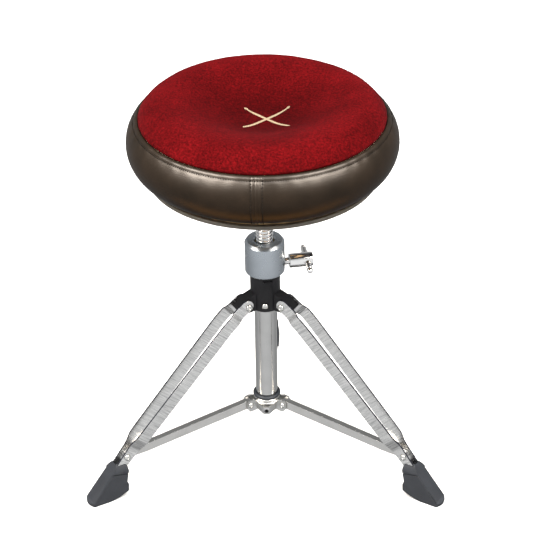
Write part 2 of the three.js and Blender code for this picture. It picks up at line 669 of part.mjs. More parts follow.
function legStrip(side) {
  const strip = bentStrip(stripSections(), STRIP_THICKNESS, 0, (along) => (
    side * strayFromMiddle(along)));
  const hubHole = crossBar(PIN_R + GAP, 40, HUB_PIVOT);
  const rivetHole = crossBar(PIN_R + GAP, 40, LEG_RIVET);
  return cut(strip, hubHole, rivetHole, beyondSlope(FOOT_WALL));
}

// ---- feet --------------------------------------------------------------------------------
// A foot is what its side view, its arched end view and its rounded plan have in common.
const FOOT_WIDTH = 25.2;
const FOOT_TAPER = 0.0026; // share of the width lost for each millimetre of height
const FOOT_TOP_Z = 50.5;
const FOOT_REACH = 80; // long enough to cover a foot from end to end
const TOE_ROUND_R = 18.4;

// Narrows a solid evenly from the floor upward.
function taperFoot(geometry) {
  const position = geometry.attributes.position;
  for (let i = 0; i < position.count; i += 1) {
    const scale = 1 - FOOT_TAPER * (position.getZ(i) - SOLE_Z);
    position.setY(i, position.getY(i) * scale);
  }
  return geometry;
}

function footSideView() {
  const outline = new THREE.Shape();
  outline.moveTo(236, SOLE_Z);
  outline.lineTo(TOE_R + 1, SOLE_Z);
  outline.lineTo(TOE_R + 1, SOLE_Z + 4);
  outline.lineTo(SLOPE_LOW.x, SLOPE_LOW.y);
  outline.lineTo(SLOPE_HIGH.x, SLOPE_HIGH.y);
  outline.lineTo(214, FOOT_TOP_Z);
  outline.lineTo(208.3, 45.5);
  outline.lineTo(207.5, 38);
  outline.lineTo(210.6, 22);
  outline.lineTo(209, 17);
  outline.lineTo(209.6, 8);
  outline.quadraticCurveTo(221, SOLE_Z + 1.5, 236, SOLE_Z);
  return taperFoot(plate(new THREE.Shape(outline.getPoints(6)), FOOT_WIDTH));
}

function footEndView() {
  const half = [[FOOT_WIDTH, SOLE_Z - 1], [FOOT_WIDTH, 30], [11.8, 38], [10.4, 43], [7.6, 47.4],
    [3, FOOT_TOP_Z + 0.3]];
  const mirrored = half.map(([across, z]) => [-across, z]).reverse();
  const outline = new THREE.Shape(toVectors([...half, ...mirrored]));
  const arch = new THREE.ExtrudeGeometry(outline, { depth: FOOT_REACH, bevelEnabled: false });
  return arch.rotateX(Math.PI / 2).rotateZ(Math.PI / 2).translate(TOE_R + 10 - FOOT_REACH, 0, 0);
}

function footPlan() {
  const halfAngle = 50 * DEG;
  const outline = new THREE.Shape();
  const halfWidth = TOE_ROUND_R * Math.sin(halfAngle);
  outline.moveTo(TOE_R - FOOT_REACH, halfWidth);
  outline.lineTo(TOE_R - FOOT_REACH, -halfWidth);
  outline.absarc(TOE_R - TOE_ROUND_R, 0, TOE_ROUND_R, -halfAngle, halfAngle, false);
  const options = { depth: FOOT_TOP_Z + 10, bevelEnabled: false, curveSegments: 8 };
  return new THREE.ExtrudeGeometry(outline, options).translate(0, 0, SOLE_Z - 5);
}

// The side panel of a foot, a little below the band round it and parted from it by a groove.
const PANEL_EDGE = toVectors([[267, SOLE_Z - 4], [231, 39.5], [200, 33.3]]);

function sideCut(points, depth, side) {
  const thickness = 4;
  const middle = side * ((FOOT_WIDTH + thickness) / 2 - depth);
  return taperFoot(plate(new THREE.Shape(points), thickness).translate(0, middle, 0));
}

function footPanel(side) {
  const lowCorner = new THREE.Vector2(200, SOLE_Z - 4);
  return sideCut([...PANEL_EDGE, lowCorner], 0.6, side);
}

function footGroove(side) {
  const inner = inset(PANEL_EDGE, 1.8).reverse();
  return sideCut([...PANEL_EDGE, ...inner], 2, side);
}

const NOTCH_FROM = 214;
const NOTCH_TO = 232;

// The pocket holds both strips; the notch clears the brace's end as the leg folds.
function foot() {
  const pocketWidth = 2 * FOOT_SPREAD + STRIP_THICKNESS + 2 * GAP;
  const sections = [[rivetAlong + 4, STRIP_HALF_HEIGHT], [legLength + GAP, STRIP_HALF_HEIGHT]];
  const pocket = cut(bentStrip(sections, pocketWidth, GAP, () => 0), beyondSlope(FOOT_WALL - GAP));
  const notchHalf = BRACE_WIDTH / 2 + GAP;
  const notch = block(NOTCH_FROM, NOTCH_TO, -notchHalf, notchHalf, FOOT_TOP_Z - 3, FOOT_TOP_Z + 9);
  const body = common(footSideView(), footEndView(), footPlan());
  return cut(body, pocket, notch, footPanel(-1), footPanel(1), footGroove(-1), footGroove(1));
}

// ---- braces ------------------------------------------------------------------------------
// An inverted U channel from the casting's pin to the leg's rivet, slimmer at the leg end.
function brace() {
  const reach = LEG_RIVET.clone().sub(BRACE_PIVOT);
  const length = reach.length();
  const h = BRACE_HALF_HEIGHT;
  const e = BRACE_END_HALF_HEIGHT;
  const outline = new THREE.Shape();
  outline.moveTo(0, -h);
  outline.lineTo(length - 30, -h);
  outline.lineTo(length, -e);
  outline.absarc(length, 0, e, -Math.PI / 2, Math.PI / 2, false);
  outline.lineTo(length - 30, h);
  outline.lineTo(0, h);
  outline.absarc(0, 0, h, Math.PI / 2, (3 * Math.PI) / 2, false);
  const outer = plate(outline, BRACE_WIDTH);
  const channel = plate(outline, BRACE_WIDTH - 2 * BRACE_WALL).translate(0, 0, -BRACE_WALL);
  const longChannel = block(-12, length + 12, -BRACE_WIDTH / 2 + BRACE_WALL,
    BRACE_WIDTH / 2 - BRACE_WALL, -2 * h, -e);
  const pinHole = crossBar(PIN_R + GAP, 20, new THREE.Vector2(0, 0));
  const rivetHole = crossBar(PIN_R + GAP / 2, 20, new THREE.Vector2(length, 0));
  const shape = cut(outer, channel, longChannel, pinHole, rivetHole);
  return shape.rotateY(-reach.angle()).translate(BRACE_PIVOT.x, 0, BRACE_PIVOT.y);
}

// ---- assembly ----------------------------------------------------------------------------
add('seat_top_panel', seatTopPanel(), suede);
add('seat_side_band', seatSideBand(), vinyl);
add('seat_foam', seatFoam(), foam);
add('seat_board', seatBoard(), plywood);
add('seat_edge_trim', seatEdgeTrim(), trimPlastic);
add('seat_dust_cover', dustCover(), coverCloth);
add('seat_bracket', seatBracket(), blackSteel);
add('bracket_clamp_bolt', bracketClampBolt(), zincPlate);
boltPlaces().forEach(([x, y], i) => {
  add(`bracket_bolt_${i + 1}`, bracketBolt(), zincPlate).position.set(x, y, 0);
  add(`bracket_t_nut_${i + 1}`, bracketTNut(), zincPlate).position.set(x, y, 0);
});

add('spindle', spindle(), chrome);
add('spindle_guide', spindleGuide(), nylon);
add('guide_screw', guideScrew(), zincPlate);
add('collar_housing', collarHousing(), satinChrome);
add('threaded_bush', threadedBush(), brass);
add('lock_plug', lockPlug(), brass);
add('t_bolt', tBolt(), chrome);
add('t_bar', tBar(), chrome);
add('hub', hub(), blackPlastic);
add('column_tube', columnTube(), chrome);
add('tube_end_plug', tubeEndPlug(), blackPlastic);
add('lower_casting', lowerCasting(), zincCasting);
add('set_screw', setScrew(), blackSteel);
add('rubber_ring', rubberRing(), ringRubber);

for (const [place, azimuth] of Object.entries(SPOKES)) {
  const spoke = new THREE.Group();
  spoke.rotation.z = azimuth;
  throne.add(spoke);
  const hubShank = PIN_SPREAD + STRIP_THICKNESS / 2 + GAP;
  const earShank = EAR_MIDDLE + EAR_THICKNESS / 2 + GAP;
  add(`hub_screw_${place}`, hubScrew().rotateZ(Math.PI), zincPlate, spoke);
  add(`leg_pin_${place}`, headedPin(hubShank, 4.6, HUB_PIVOT), zincPlate, spoke);
  add(`leg_strip_a_${place}`, legStrip(-1), chrome, spoke);
  add(`leg_strip_b_${place}`, legStrip(1), chrome, spoke);
  add(`leg_rivet_a_${place}`, halfRivet(-1), zincPlate, spoke);
  add(`leg_rivet_b_${place}`, halfRivet(1), zincPlate, spoke);
  add(`foot_${place}`, foot(), footRubber, spoke);
  add(`brace_${place}`, brace(), zincCasting, spoke);
  add(`brace_pin_${place}`, headedPin(earShank, 4, BRACE_PIVOT), zincPlate, spoke);
}

export default throne;
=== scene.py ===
"""Drum throne: suede and vinyl seat, threaded spindle, chromed collar and folding tripod."""
import math
from collections import namedtuple

import bmesh
import bpy
from mathutils import Matrix, Vector, noise


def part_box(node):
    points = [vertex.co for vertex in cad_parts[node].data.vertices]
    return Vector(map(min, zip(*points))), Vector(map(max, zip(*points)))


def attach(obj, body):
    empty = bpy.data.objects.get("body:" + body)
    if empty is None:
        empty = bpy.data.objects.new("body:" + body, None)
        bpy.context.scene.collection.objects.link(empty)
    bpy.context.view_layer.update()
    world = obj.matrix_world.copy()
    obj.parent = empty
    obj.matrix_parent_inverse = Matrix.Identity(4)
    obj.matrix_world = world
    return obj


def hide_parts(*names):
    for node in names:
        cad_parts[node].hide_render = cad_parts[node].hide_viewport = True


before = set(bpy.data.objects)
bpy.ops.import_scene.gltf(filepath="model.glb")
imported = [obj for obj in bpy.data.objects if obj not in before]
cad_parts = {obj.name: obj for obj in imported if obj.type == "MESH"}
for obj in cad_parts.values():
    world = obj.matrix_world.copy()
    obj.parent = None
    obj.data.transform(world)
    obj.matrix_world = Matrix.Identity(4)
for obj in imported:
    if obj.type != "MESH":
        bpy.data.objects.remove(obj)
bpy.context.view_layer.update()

MM = 0.001
DETAIL = 2  # how finely the seat's covers are divided
ON_AXIS = 1e-7  # a smaller radius counts as none
WELD = 0.002 * MM  # points of a CAD mesh that lie closer than this are one point

# ---- places taken from the CAD parts -------------------------------------------------------
TUBE_LOW, TUBE_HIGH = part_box("column_tube")
COLUMN = Vector(((TUBE_LOW.x + TUBE_HIGH.x) / 2, (TUBE_LOW.y + TUBE_HIGH.y) / 2, 0))
ON_COLUMN = Matrix.Translation(COLUMN)
TUBE_R = (TUBE_HIGH.x - TUBE_LOW.x) / 2
GAP = 0.4 * MM  # running clearance between two pieces
SPOKES = {"left": math.radians(210), "right": math.radians(330), "rear": math.radians(90)}
UP = Vector((0, 0, 1))

# ---- seat shape, in metres -----------------------------------------------------------------
BAND_LOW, BAND_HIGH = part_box("seat_side_band")
PANEL_LOW, PANEL_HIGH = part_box("seat_top_panel")
TRIM_LOW, TRIM_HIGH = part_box("seat_edge_trim")
SEAT_R = (BAND_HIGH.x - BAND_LOW.x) / 2
SEAM_R = (PANEL_HIGH.x - PANEL_LOW.x) / 2
SEAT_BOTTOM_R = (TRIM_HIGH.x - TRIM_LOW.x) / 2 - 1.0 * MM
SEAT_BOTTOM_Z = BAND_LOW.z
EQUATOR_Z = SEAT_BOTTOM_Z + 35 * MM
SEAM_Z = BAND_HIGH.z
BELLY_ARC = math.radians(70)  # turn of the side's curve below the equator
SHOULDER_ARC = math.radians(60)  # and above it
CROWN_R = 118 * MM
CROWN_Z = PANEL_HIGH.z
CROWN_ARC = math.radians(60)
DISH_DEPTH = 25.5 * MM
DISH_FLAT_R = 14 * MM
COVER_THICKNESS = 1.5 * MM
FRONT_SEAM = math.radians(-91.2)
SEAM_ROW_OFFSET = 6.6 * MM  # from the front seam to each of its stitch rows
TOPSTITCH_DROP = 7.2 * MM  # from the seam down the band to the topstitch row
STICK_HALF_LENGTH = 38 * MM
STICK_HALF_WIDTH = 2.1 * MM
STICK_TURNS = (math.radians(44), math.radians(136))
MOTIF_SHIFT = Vector((5 * MM, -3 * MM, 0))

# ---- lock ----------------------------------------------------------------------------------
LOCK_AZIMUTH = math.radians(11)
LOCK_AXIS = Vector((math.cos(LOCK_AZIMUTH), math.sin(LOCK_AZIMUTH), 0))
LOCK_LOW, LOCK_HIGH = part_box("t_bolt")
LOCK_ORIGIN = Vector((COLUMN.x, COLUMN.y, (LOCK_LOW.z + LOCK_HIGH.z) / 2))
BAR_TILT = math.radians(7)  # the cross bar's slope
BAR_AXIS = UP.cross(LOCK_AXIS) * math.cos(BAR_TILT) + UP * math.sin(BAR_TILT)
BAR_R = 3.8 * MM
BAR_HALF = 27.5 * MM


# ==== camera, light and stage ===============================================================
CAMERA_ELEVATION = math.radians(32.0)
CAMERA_DISTANCE = 2.142
CAMERA_AIM_Z = 0.2757
CAMERA_X = 0.055  # stands a little to the right, and shifts its lens back to the column
FOCAL_PER_WIDTH = 3.189493  # focal length over sensor width
SHIFT_TRIM = 0.003002
SENSOR = 36.0

LIGHT_TARGET = (0, COLUMN.y, 0.3)
WARM = (1, 0.92, 0.82)
WARMER = (1, 0.87, 0.74)
AMBER = (1, 0.45, 0.13)
ROOM_LIGHTS = [  # name, place, target, size, power, colour
    ("overhead", (0, -0.55, 2.6), LIGHT_TARGET, (3.0, 2.0), 190, (1, 1, 1)),
    ("left_box", (-1.5, -1.0, 1.75), LIGHT_TARGET, (1.1, 0.9), 60, WARM),
    ("right_box", (1.5, -1.0, 1.75), LIGHT_TARGET, (1.1, 0.9), 45, WARM),
]
COVER_LIGHTS = [  # the same, for lights that reach only the seat's side cover
    ("cover_left", (-1.2, -0.9, 1.9), LIGHT_TARGET, (1.4, 1.0), 850, WARMER),
    ("cover_right", (1.2, -0.9, 1.9), LIGHT_TARGET, (1.4, 1.0), 650, WARMER),
    ("cover_glow", (0, -0.26, 0.02), (0, -0.24, 0.42), (1.1, 0.14), 2.4, AMBER),
]
SKY_COLOUR = (0.97, 0.985, 1.0)
SKY_RANGES = [  # axis, then the (direction, strength) at each end of its range
    ("Y", (-0.8, 1.05), (0.4, 0.5)),
    ("Z", (-0.95, 0.12), (-0.65, 1.0)),
    ("Z", (0.3, 1.0), (0.8, 0.4)),
]
FLOOR_HALF = 6.0
FLOOR_DROP = 0.5 * MM


def make_camera():
    data = bpy.data.cameras.new("camera")
    data.sensor_width = SENSOR
    data.lens = SENSOR * FOCAL_PER_WIDTH
    data.clip_start = 0.05
    data.clip_end = 50.0
    camera = bpy.data.objects.new("camera", data)
    bpy.context.scene.collection.objects.link(camera)
    aim = COLUMN + Vector((CAMERA_X, 0, CAMERA_AIM_Z))
    back = Vector((0, -math.cos(CAMERA_ELEVATION), math.sin(CAMERA_ELEVATION)))
    camera.location = aim + back * CAMERA_DISTANCE
    camera.rotation_euler = back.to_track_quat("Z", "Y").to_euler()
    data.shift_x = -CAMERA_X / CAMERA_DISTANCE * FOCAL_PER_WIDTH + SHIFT_TRIM
    bpy.context.scene.camera = camera


def area_light(name, place, target, size, power, colour):
    """A rectangular light that faces its target."""
    data = bpy.data.lights.new(name, "AREA")
    data.shape = "RECTANGLE"
    data.size, data.size_y = size
    data.energy = power
    data.color = colour
    light = bpy.data.objects.new(name, data)
    bpy.context.scene.collection.objects.link(light)
    light.location = place
    light.rotation_euler = (Vector(place) - Vector(target)).to_track_quat("Z", "Y").to_euler()
    return light


def make_world():
    """A soft studio: brightest in front, dimmer behind, overhead and straight below."""
    world = bpy.data.worlds.new("studio")
    bpy.context.scene.world = world
    bpy.context.scene.view_settings.view_transform = "Standard"
    world.use_nodes = True
    links = world.node_tree.links
    direction = add_node(world, "ShaderNodeTexCoord")
    split = add_node(world, "ShaderNodeSeparateXYZ")
    links.new(direction.outputs["Generated"], split.inputs["Vector"])
    strength = None
    for axis, (start, at_start), (end, at_end) in SKY_RANGES:
        share = value_range(world, split.outputs[axis], at_start, at_end, start, end)
        if strength is None:
            strength = share
            continue
        product = add_node(world, "ShaderNodeMath", operation="MULTIPLY")
        links.new(strength, product.inputs[0])
        links.new(share, product.inputs[1])
        strength = product.outputs["Value"]
    background = world.node_tree.nodes["Background"]
    links.new(strength, background.inputs["Strength"])
    background.inputs["Color"].default_value = (*SKY_COLOUR, 1)


def make_floor():
    mesh = bpy.data.meshes.new("studio_floor")
    corners = [(x * FLOOR_HALF, y * FLOOR_HALF, 0) for x, y in ((-1, -1), (1, -1), (1, 1), (-1, 1))]
    mesh.from_pydata(corners, [], [(0, 1, 2, 3)])
    floor = bpy.data.objects.new("studio_floor", mesh)
    bpy.context.scene.collection.objects.link(floor)
    floor.location.z = -FLOOR_DROP
    material, shader, _ = new_material("studio_floor")
    shader.inputs["Base Color"].default_value = (0.93, 0.93, 0.93, 1)
    shader.inputs["Roughness"].default_value = 0.9
    floor.data.materials.append(material)
    floor.visible_glossy = False


def make_lights():
    """Makes every light, and returns the collection that the cover lights are limited to."""
    for light in ROOM_LIGHTS:
        area_light(*light)
    lit = bpy.data.collections.new("cover_lit")
    for light in COVER_LIGHTS:
        area_light(*light).light_linking.receiver_collection = lit
    return lit


# ==== material helpers ======================================================================
NOISE_LOW, NOISE_HIGH = 0.3, 0.7  # nearly all of a noise texture's values lie between these


def new_material(name):
    """A new material, its shader and its links."""
    material = bpy.data.materials.new(name)
    material.use_nodes = True
    tree = material.node_tree
    return material, tree.nodes["Principled BSDF"], tree.links


def add_node(owner, kind, **values):
    """A node in a material or world, with each value set on the input or setting of that name."""
    node = owner.node_tree.nodes.new(kind)
    for key, value in values.items():
        if key in node.inputs:
            node.inputs[key].default_value = value
        else:
            setattr(node, key, value)
    return node


def mapped(material, vector, **values):
    """A vector moved, turned or scaled by a mapping node."""
    mapping = add_node(material, "ShaderNodeMapping", **values)
    material.node_tree.links.new(vector, mapping.inputs["Vector"])
    return mapping.outputs["Vector"]


def coordinates(material, scale=(1, 1, 1)):
    """Object coordinates in metres, scaled."""
    source = add_node(material, "ShaderNodeTexCoord")
    return mapped(material, source.outputs["Object"], Scale=scale)


def noise_value(material, vector, scale, detail=3.0, roughness=0.55):
    texture = add_node(material, "ShaderNodeTexNoise", Scale=scale, Detail=detail, Roughness=roughness)
    material.node_tree.links.new(vector, texture.inputs["Vector"])
    return texture.outputs["Fac"]


def colour_ramp(material, factor, stops):
    """A ramp through stops, each a (position, RGB triple)."""
    ramp = add_node(material, "ShaderNodeValToRGB")
    elements = ramp.color_ramp.elements
    while len(elements) < len(stops):
        elements.new(0.5)
    for element, (position, colour) in zip(elements, stops):
        element.position = position
        element.color = (*colour, 1)
    material.node_tree.links.new(factor, ramp.inputs["Fac"])
    return ramp.outputs["Color"]


def two_tone(material, factor, dark, light, low=NOISE_LOW, high=NOISE_HIGH):
    """A colour that runs between two while the factor runs from low to high."""
    return colour_ramp(material, factor, [(low, dark), (high, light)])


def value_range(owner, factor, low, high, from_low=NOISE_LOW, from_high=NOISE_HIGH):
    """Runs from low to high while the factor runs between its own two ends."""
    node = add_node(owner, "ShaderNodeMapRange")
    node.inputs["From Min"].default_value = from_low
    node.inputs["From Max"].default_value = from_high
    node.inputs["To Min"].default_value = low
    node.inputs["To Max"].default_value = high
    owner.node_tree.links.new(factor, node.inputs["Value"])
    return node.outputs["Result"]


def mixed(material, factor, first, second, blend="MIX"):
    """Mixes two colour sockets. The factor is a number or a socket."""
    node = add_node(material, "ShaderNodeMix", data_type="RGBA", blend_type=blend)
    links = material.node_tree.links
    if isinstance(factor, (int, float)):
        node.inputs["Factor"].default_value = factor
    else:
        links.new(factor, node.inputs["Factor"])
    for letter, socket in (("A", first), ("B", second)):
        target = [item for item in node.inputs if item.name == letter and item.type == "RGBA"][0]
        links.new(socket, target)
    return [item for item in node.outputs if item.type == "RGBA"][0]


def bumped(material, shader, heights):
    """Chains bump nodes: each height is (socket, distance in metres, strength)."""
    links = material.node_tree.links
    last = None
    for height, distance, strength in heights:
        bump = add_node(material, "ShaderNodeBump", Distance=distance, Strength=strength)
        links.new(height, bump.inputs["Height"])
        if last is not None:
            links.new(last, bump.inputs["Normal"])
        last = bump.outputs["Normal"]
    links.new(last, shader.inputs["Normal"])


# ==== materials =============================================================================
# Colours are linear RGB, and the scale of a noise or cell texture is in cells a metre.
SUEDE_DARK = (0.026, 0.0007, 0.0009)
SUEDE_MID = (0.064, 0.0014, 0.002)
SUEDE_LIGHT = (0.125, 0.0032, 0.0044)
SUEDE_SHEEN = (1.0, 0.16, 0.2)
# painted shade: the colour that the middle of the dish is multiplied by
DISH_PAINTED_SHADE = (0.5, 0.45, 0.45)
DISH_SHADE_RADII = (30 * MM, 120 * MM)
VINYL_DARK = (0.0010, 0.0007, 0.0004)
VINYL_LIGHT = (0.0022, 0.0014, 0.0008)
STRIP_DARK = (0.46, 0.455, 0.45)
STRIP_LIGHT = (0.84, 0.83, 0.81)
# painted shade for the leg strips' edge faces
PAINTED_EDGE_SHADE_DARK = (0.05, 0.05, 0.065)
PAINTED_EDGE_SHADE_LIGHT = (0.13, 0.13, 0.16)
STRIP_SLOPE = math.radians(45.9)
MARK_STRETCH = (1, 0.3, 0.07)
WOOD_DARK = (0.36, 0.21, 0.09)
WOOD_LIGHT = (0.58, 0.39, 0.2)
GLUE_LINE = (0.7, 0.66, 0.6)
CLOTH_DARK = (0.006, 0.006, 0.007)
CLOTH_LIGHT = (0.022, 0.022, 0.024)
FOAM_DARK = (0.42, 0.36, 0.2)
FOAM_LIGHT = (0.74, 0.68, 0.5)
WHITE = (1.0, 1.0, 1.0)


def grey(level):
    return (level, level, level)


def painted_dish_shade(material):
    """Painted shade: darker towards the middle of the seat."""
    centred = mapped(material, coordinates(material), Location=(-COLUMN.x, -COLUMN.y, 0))
    flat = mapped(material, centred, Scale=(1, 1, 0))
    length = add_node(material, "ShaderNodeVectorMath", operation="LENGTH")
    material.node_tree.links.new(flat, length.inputs[0])
    share = value_range(material, length.outputs["Value"], 0.0, 1.0, *DISH_SHADE_RADII)
    return two_tone(material, share, DISH_PAINTED_SHADE, WHITE, 0.0, 1.0)


def suede():
    """Red suede: a patchy nap over fine fibres, worn in broad clouds, with painted shade darkening the
    dish.
    """
    material, shader, links = new_material("red_suede")
    place = coordinates(material)
    broad = noise_value(material, place, 22.0, 3.0)
    nap = noise_value(material, place, 380.0, 5.0, 0.8)
    fibre = noise_value(material, place, 1500.0, 2.0)
    base = colour_ramp(material, nap, [(0.36, SUEDE_DARK), (0.5, SUEDE_MID), (0.66, SUEDE_LIGHT)])
    worn = two_tone(material, broad, grey(0.62), grey(1.05))
    colour = mixed(material, 1.0, base, worn, "MULTIPLY")
    # painted shade: darkens the dish towards its middle
    colour = mixed(material, 1.0, colour, painted_dish_shade(material), "MULTIPLY")
    links.new(colour, shader.inputs["Base Color"])
    links.new(value_range(material, nap, 0.82, 1.0), shader.inputs["Roughness"])
    shader.inputs["Sheen Weight"].default_value = 0.03
    shader.inputs["Sheen Roughness"].default_value = 0.45
    shader.inputs["Sheen Tint"].default_value = (*SUEDE_SHEEN, 1)
    shader.inputs["Specular IOR Level"].default_value = 0.02
    bumped(material, shader, [(broad, 1.5 * MM, 0.3), (nap, 0.5 * MM, 0.6), (fibre, 0.15 * MM, 0.5)])
    return material


def vinyl():
    """Brown-black vinyl with a pebbled grain and a slightly uneven gloss."""
    material, shader, links = new_material("dark_vinyl")
    place = coordinates(material)
    cells = add_node(material, "ShaderNodeTexVoronoi", Scale=620.0, feature="DISTANCE_TO_EDGE")
    links.new(place, cells.inputs["Vector"])
    grain = value_range(material, cells.outputs["Distance"], 0.0, 1.0, 0.0, 0.35)
    fine = noise_value(material, place, 900.0, 2.0)
    broad = noise_value(material, place, 16.0, 4.0)
    links.new(two_tone(material, broad, VINYL_DARK, VINYL_LIGHT), shader.inputs["Base Color"])
    links.new(value_range(material, broad, 0.34, 0.44), shader.inputs["Roughness"])
    shader.inputs["Specular IOR Level"].default_value = 0.08
    bumped(material, shader, [(broad, 1.2 * MM, 0.25), (grain, 0.08 * MM, 0.55), (fine, 0.05 * MM, 0.3)])
    return material


def plated_metal(name, colour, roughness, scratch=0.25):
    """Plated metal: faint clouding, which dulls it here and there, and fine scratches."""
    material, shader, links = new_material(name)
    place = coordinates(material)
    cloud = noise_value(material, place, 35.0, 4.0)
    fine = noise_value(material, coordinates(material, (1, 1, 0.12)), 900.0, 2.0)
    dull = tuple(channel * 0.88 for channel in colour)
    links.new(two_tone(material, cloud, dull, colour), shader.inputs["Base Color"])
    shader.inputs["Metallic"].default_value = 1.0
    rough = value_range(material, cloud, roughness - 0.03, roughness + 0.06)
    links.new(rough, shader.inputs["Roughness"])
    bumped(material, shader, [(fine, 0.03 * MM, scratch)])
    return material


def strip_chrome(leg, azimuth):
    """Bright strip steel with rolling marks across a leg's strips, and painted shade darkening their
    edge faces.
    """
    material, shader, links = new_material("strip_chrome_" + leg)
    place = add_node(material, "ShaderNodeTexCoord").outputs["Object"]
    for rotation in ((0, 0, azimuth), (0, STRIP_SLOPE, 0)):
        place = mapped(material, place, vector_type="TEXTURE", Rotation=rotation)
    place = mapped(material, place, Scale=MARK_STRETCH)
    marks = noise_value(material, place, 520.0, 5.0, 0.7)
    ripple = noise_value(material, place, 110.0, 2.0)
    face = two_tone(material, marks, STRIP_DARK, STRIP_LIGHT)
    geometry = add_node(material, "ShaderNodeNewGeometry")
    across = add_node(material, "ShaderNodeVectorMath", operation="DOT_PRODUCT")
    across.inputs[1].default_value = tangent_at(azimuth)
    links.new(geometry.outputs["True Normal"], across.inputs[0])
    squareness = add_node(material, "ShaderNodeMath", operation="ABSOLUTE")
    links.new(across.outputs["Value"], squareness.inputs[0])
    on_face = value_range(material, squareness.outputs["Value"], 0.0, 1.0, 0.35, 0.6)
    # painted shade: faces other than a strip's broad sides are coloured dark
    edge = two_tone(material, marks, PAINTED_EDGE_SHADE_DARK, PAINTED_EDGE_SHADE_LIGHT)
    links.new(mixed(material, on_face, edge, face), shader.inputs["Base Color"])
    shader.inputs["Metallic"].default_value = 1.0
    links.new(value_range(material, marks, 0.14, 0.32), shader.inputs["Roughness"])
    bumped(material, shader, [(ripple, 0.5 * MM, 0.5), (marks, 0.12 * MM, 0.7)])
    return material


def moulded(name, colour, roughness, grain_scale, grain_depth, mottling=0.25, specular=0.45):
    """Moulded plastic or rubber with a fine texture and slight mottling."""
    material, shader, links = new_material(name)
    place = coordinates(material)
    cloud = noise_value(material, place, 60.0, 4.0)
    grain = noise_value(material, place, grain_scale, 3.0)
    dark = tuple(channel * (1 - mottling) for channel in colour)
    light = tuple(channel * (1 + mottling) for channel in colour)
    links.new(two_tone(material, cloud, dark, light), shader.inputs["Base Color"])
    links.new(value_range(material, grain, roughness - 0.06, roughness + 0.08),
              shader.inputs["Roughness"])
    shader.inputs["Specular IOR Level"].default_value = specular
    bumped(material, shader, [(grain, grain_depth, 0.6)])
    return material


def wood():
    """Birch plywood: stretched grain on the faces, and plies seen at the edge."""
    material, shader, links = new_material("birch_plywood")
    stretched = coordinates(material, (1, 9, 9))
    rings = noise_value(material, stretched, 14.0, 5.0, 0.6)
    plies = add_node(material, "ShaderNodeTexWave", Scale=115.0, Distortion=0.6, bands_direction="Z")
    links.new(coordinates(material), plies.inputs["Vector"])
    base = two_tone(material, rings, WOOD_DARK, WOOD_LIGHT)
    shade = two_tone(material, plies.outputs["Fac"], GLUE_LINE, WHITE, 0.2, 0.6)
    links.new(mixed(material, 1.0, base, shade, "MULTIPLY"), shader.inputs["Base Color"])
    shader.inputs["Roughness"].default_value = 0.65
    bumped(material, shader, [(rings, 0.2 * MM, 0.4)])
    return material


def cloth_black():
    """Thin black cloth with pressed dots."""
    material, shader, links = new_material("black_cloth")
    place = coordinates(material)
    fibres = noise_value(material, place, 700.0, 5.0, 0.8)
    dots = add_node(material, "ShaderNodeTexVoronoi", Scale=420.0)
    links.new(place, dots.inputs["Vector"])
    links.new(two_tone(material, fibres, CLOTH_DARK, CLOTH_LIGHT), shader.inputs["Base Color"])
    shader.inputs["Roughness"].default_value = 0.95
    bumped(material, shader, [(dots.outputs["Distance"], 0.2 * MM, 0.5), (fibres, 0.1 * MM, 0.5)])
    return material


def foam_yellow():
    """Cut polyurethane foam with open cells."""
    material, shader, links = new_material("foam")
    place = coordinates(material)
    cells = add_node(material, "ShaderNodeTexVoronoi", Scale=500.0)
    links.new(place, cells.inputs["Vector"])
    colour = two_tone(material, cells.outputs["Distance"], FOAM_DARK, FOAM_LIGHT, 0.1, 0.6)
    links.new(colour, shader.inputs["Base Color"])
    shader.inputs["Roughness"].default_value = 1.0
    bumped(material, shader, [(cells.outputs["Distance"], 0.4 * MM, 0.7)])
    return material


def thread(name, dark, light):
    """Twisted sewing thread."""
    material, shader, links = new_material(name)
    place = coordinates(material)
    ply = noise_value(material, place, 2600.0, 2.0)
    links.new(two_tone(material, ply, dark, light, 0.35, 0.65), shader.inputs["Base Color"])
    shader.inputs["Roughness"].default_value = 0.8
    shader.inputs["Specular IOR Level"].default_value = 0.1
    bumped(material, shader, [(ply, 0.08 * MM, 0.6)])
    return material


# ==== mesh helpers ==========================================================================
def tangent_at(azimuth):
    """The level direction square to the spoke at an azimuth."""
    return Vector((-math.sin(azimuth), math.cos(azimuth), 0))


def link_mesh(mesh, material):
    """A new object in the scene, named after its mesh, with one of the materials."""
    piece = bpy.data.objects.new(mesh.name, mesh)
    bpy.context.scene.collection.objects.link(piece)
    mesh.materials.append(MATERIALS[material])
    return piece


def finish_piece(piece, body, replaced=(), smooth_angle=35.0):
    """Smooths a piece, puts it under its body's empty and hides the CAD nodes that it stands for."""
    piece.data.polygons.foreach_set("use_smooth", [True] * len(piece.data.polygons))
    if smooth_angle is not None:
        piece.data.set_sharp_from_angle(angle=math.radians(smooth_angle))
    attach(piece, body)
    if replaced:
        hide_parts(*replaced)


def mesh_from(name, work):
    """Turns a finished bmesh into a mesh."""
    data = bpy.data.meshes.new(name)
    work.to_mesh(data)
    work.free()
    return data


def ellipse_arc(centre, radii, start, end, steps):
    """Points from one angle of an ellipse to another."""
    points = []
    for i in range(steps + 1):
        angle = start + (end - start) * i / steps
        points.append((centre[0] + radii[0] * math.cos(angle), centre[1] + radii[1] * math.sin(angle)))
    return points


def lower_round(radius, height, size, steps):
    """Rounds an outer edge of a profile from below: radius and height are the sharp corner's."""
    return ellipse_arc((radius - size, height + size), (size, size), -math.pi / 2, 0, steps)


def upper_round(radius, height, size, steps):
    """Rounds an outer edge of a profile from above."""
    return ellipse_arc((radius - size, height - size), (size, size), 0, math.pi / 2, steps)


def mirrored(profile):
    """The same profile upside down, for the lower half of a piece with two equal ends."""
    return [(radius, -height) for radius, height in reversed(profile)]


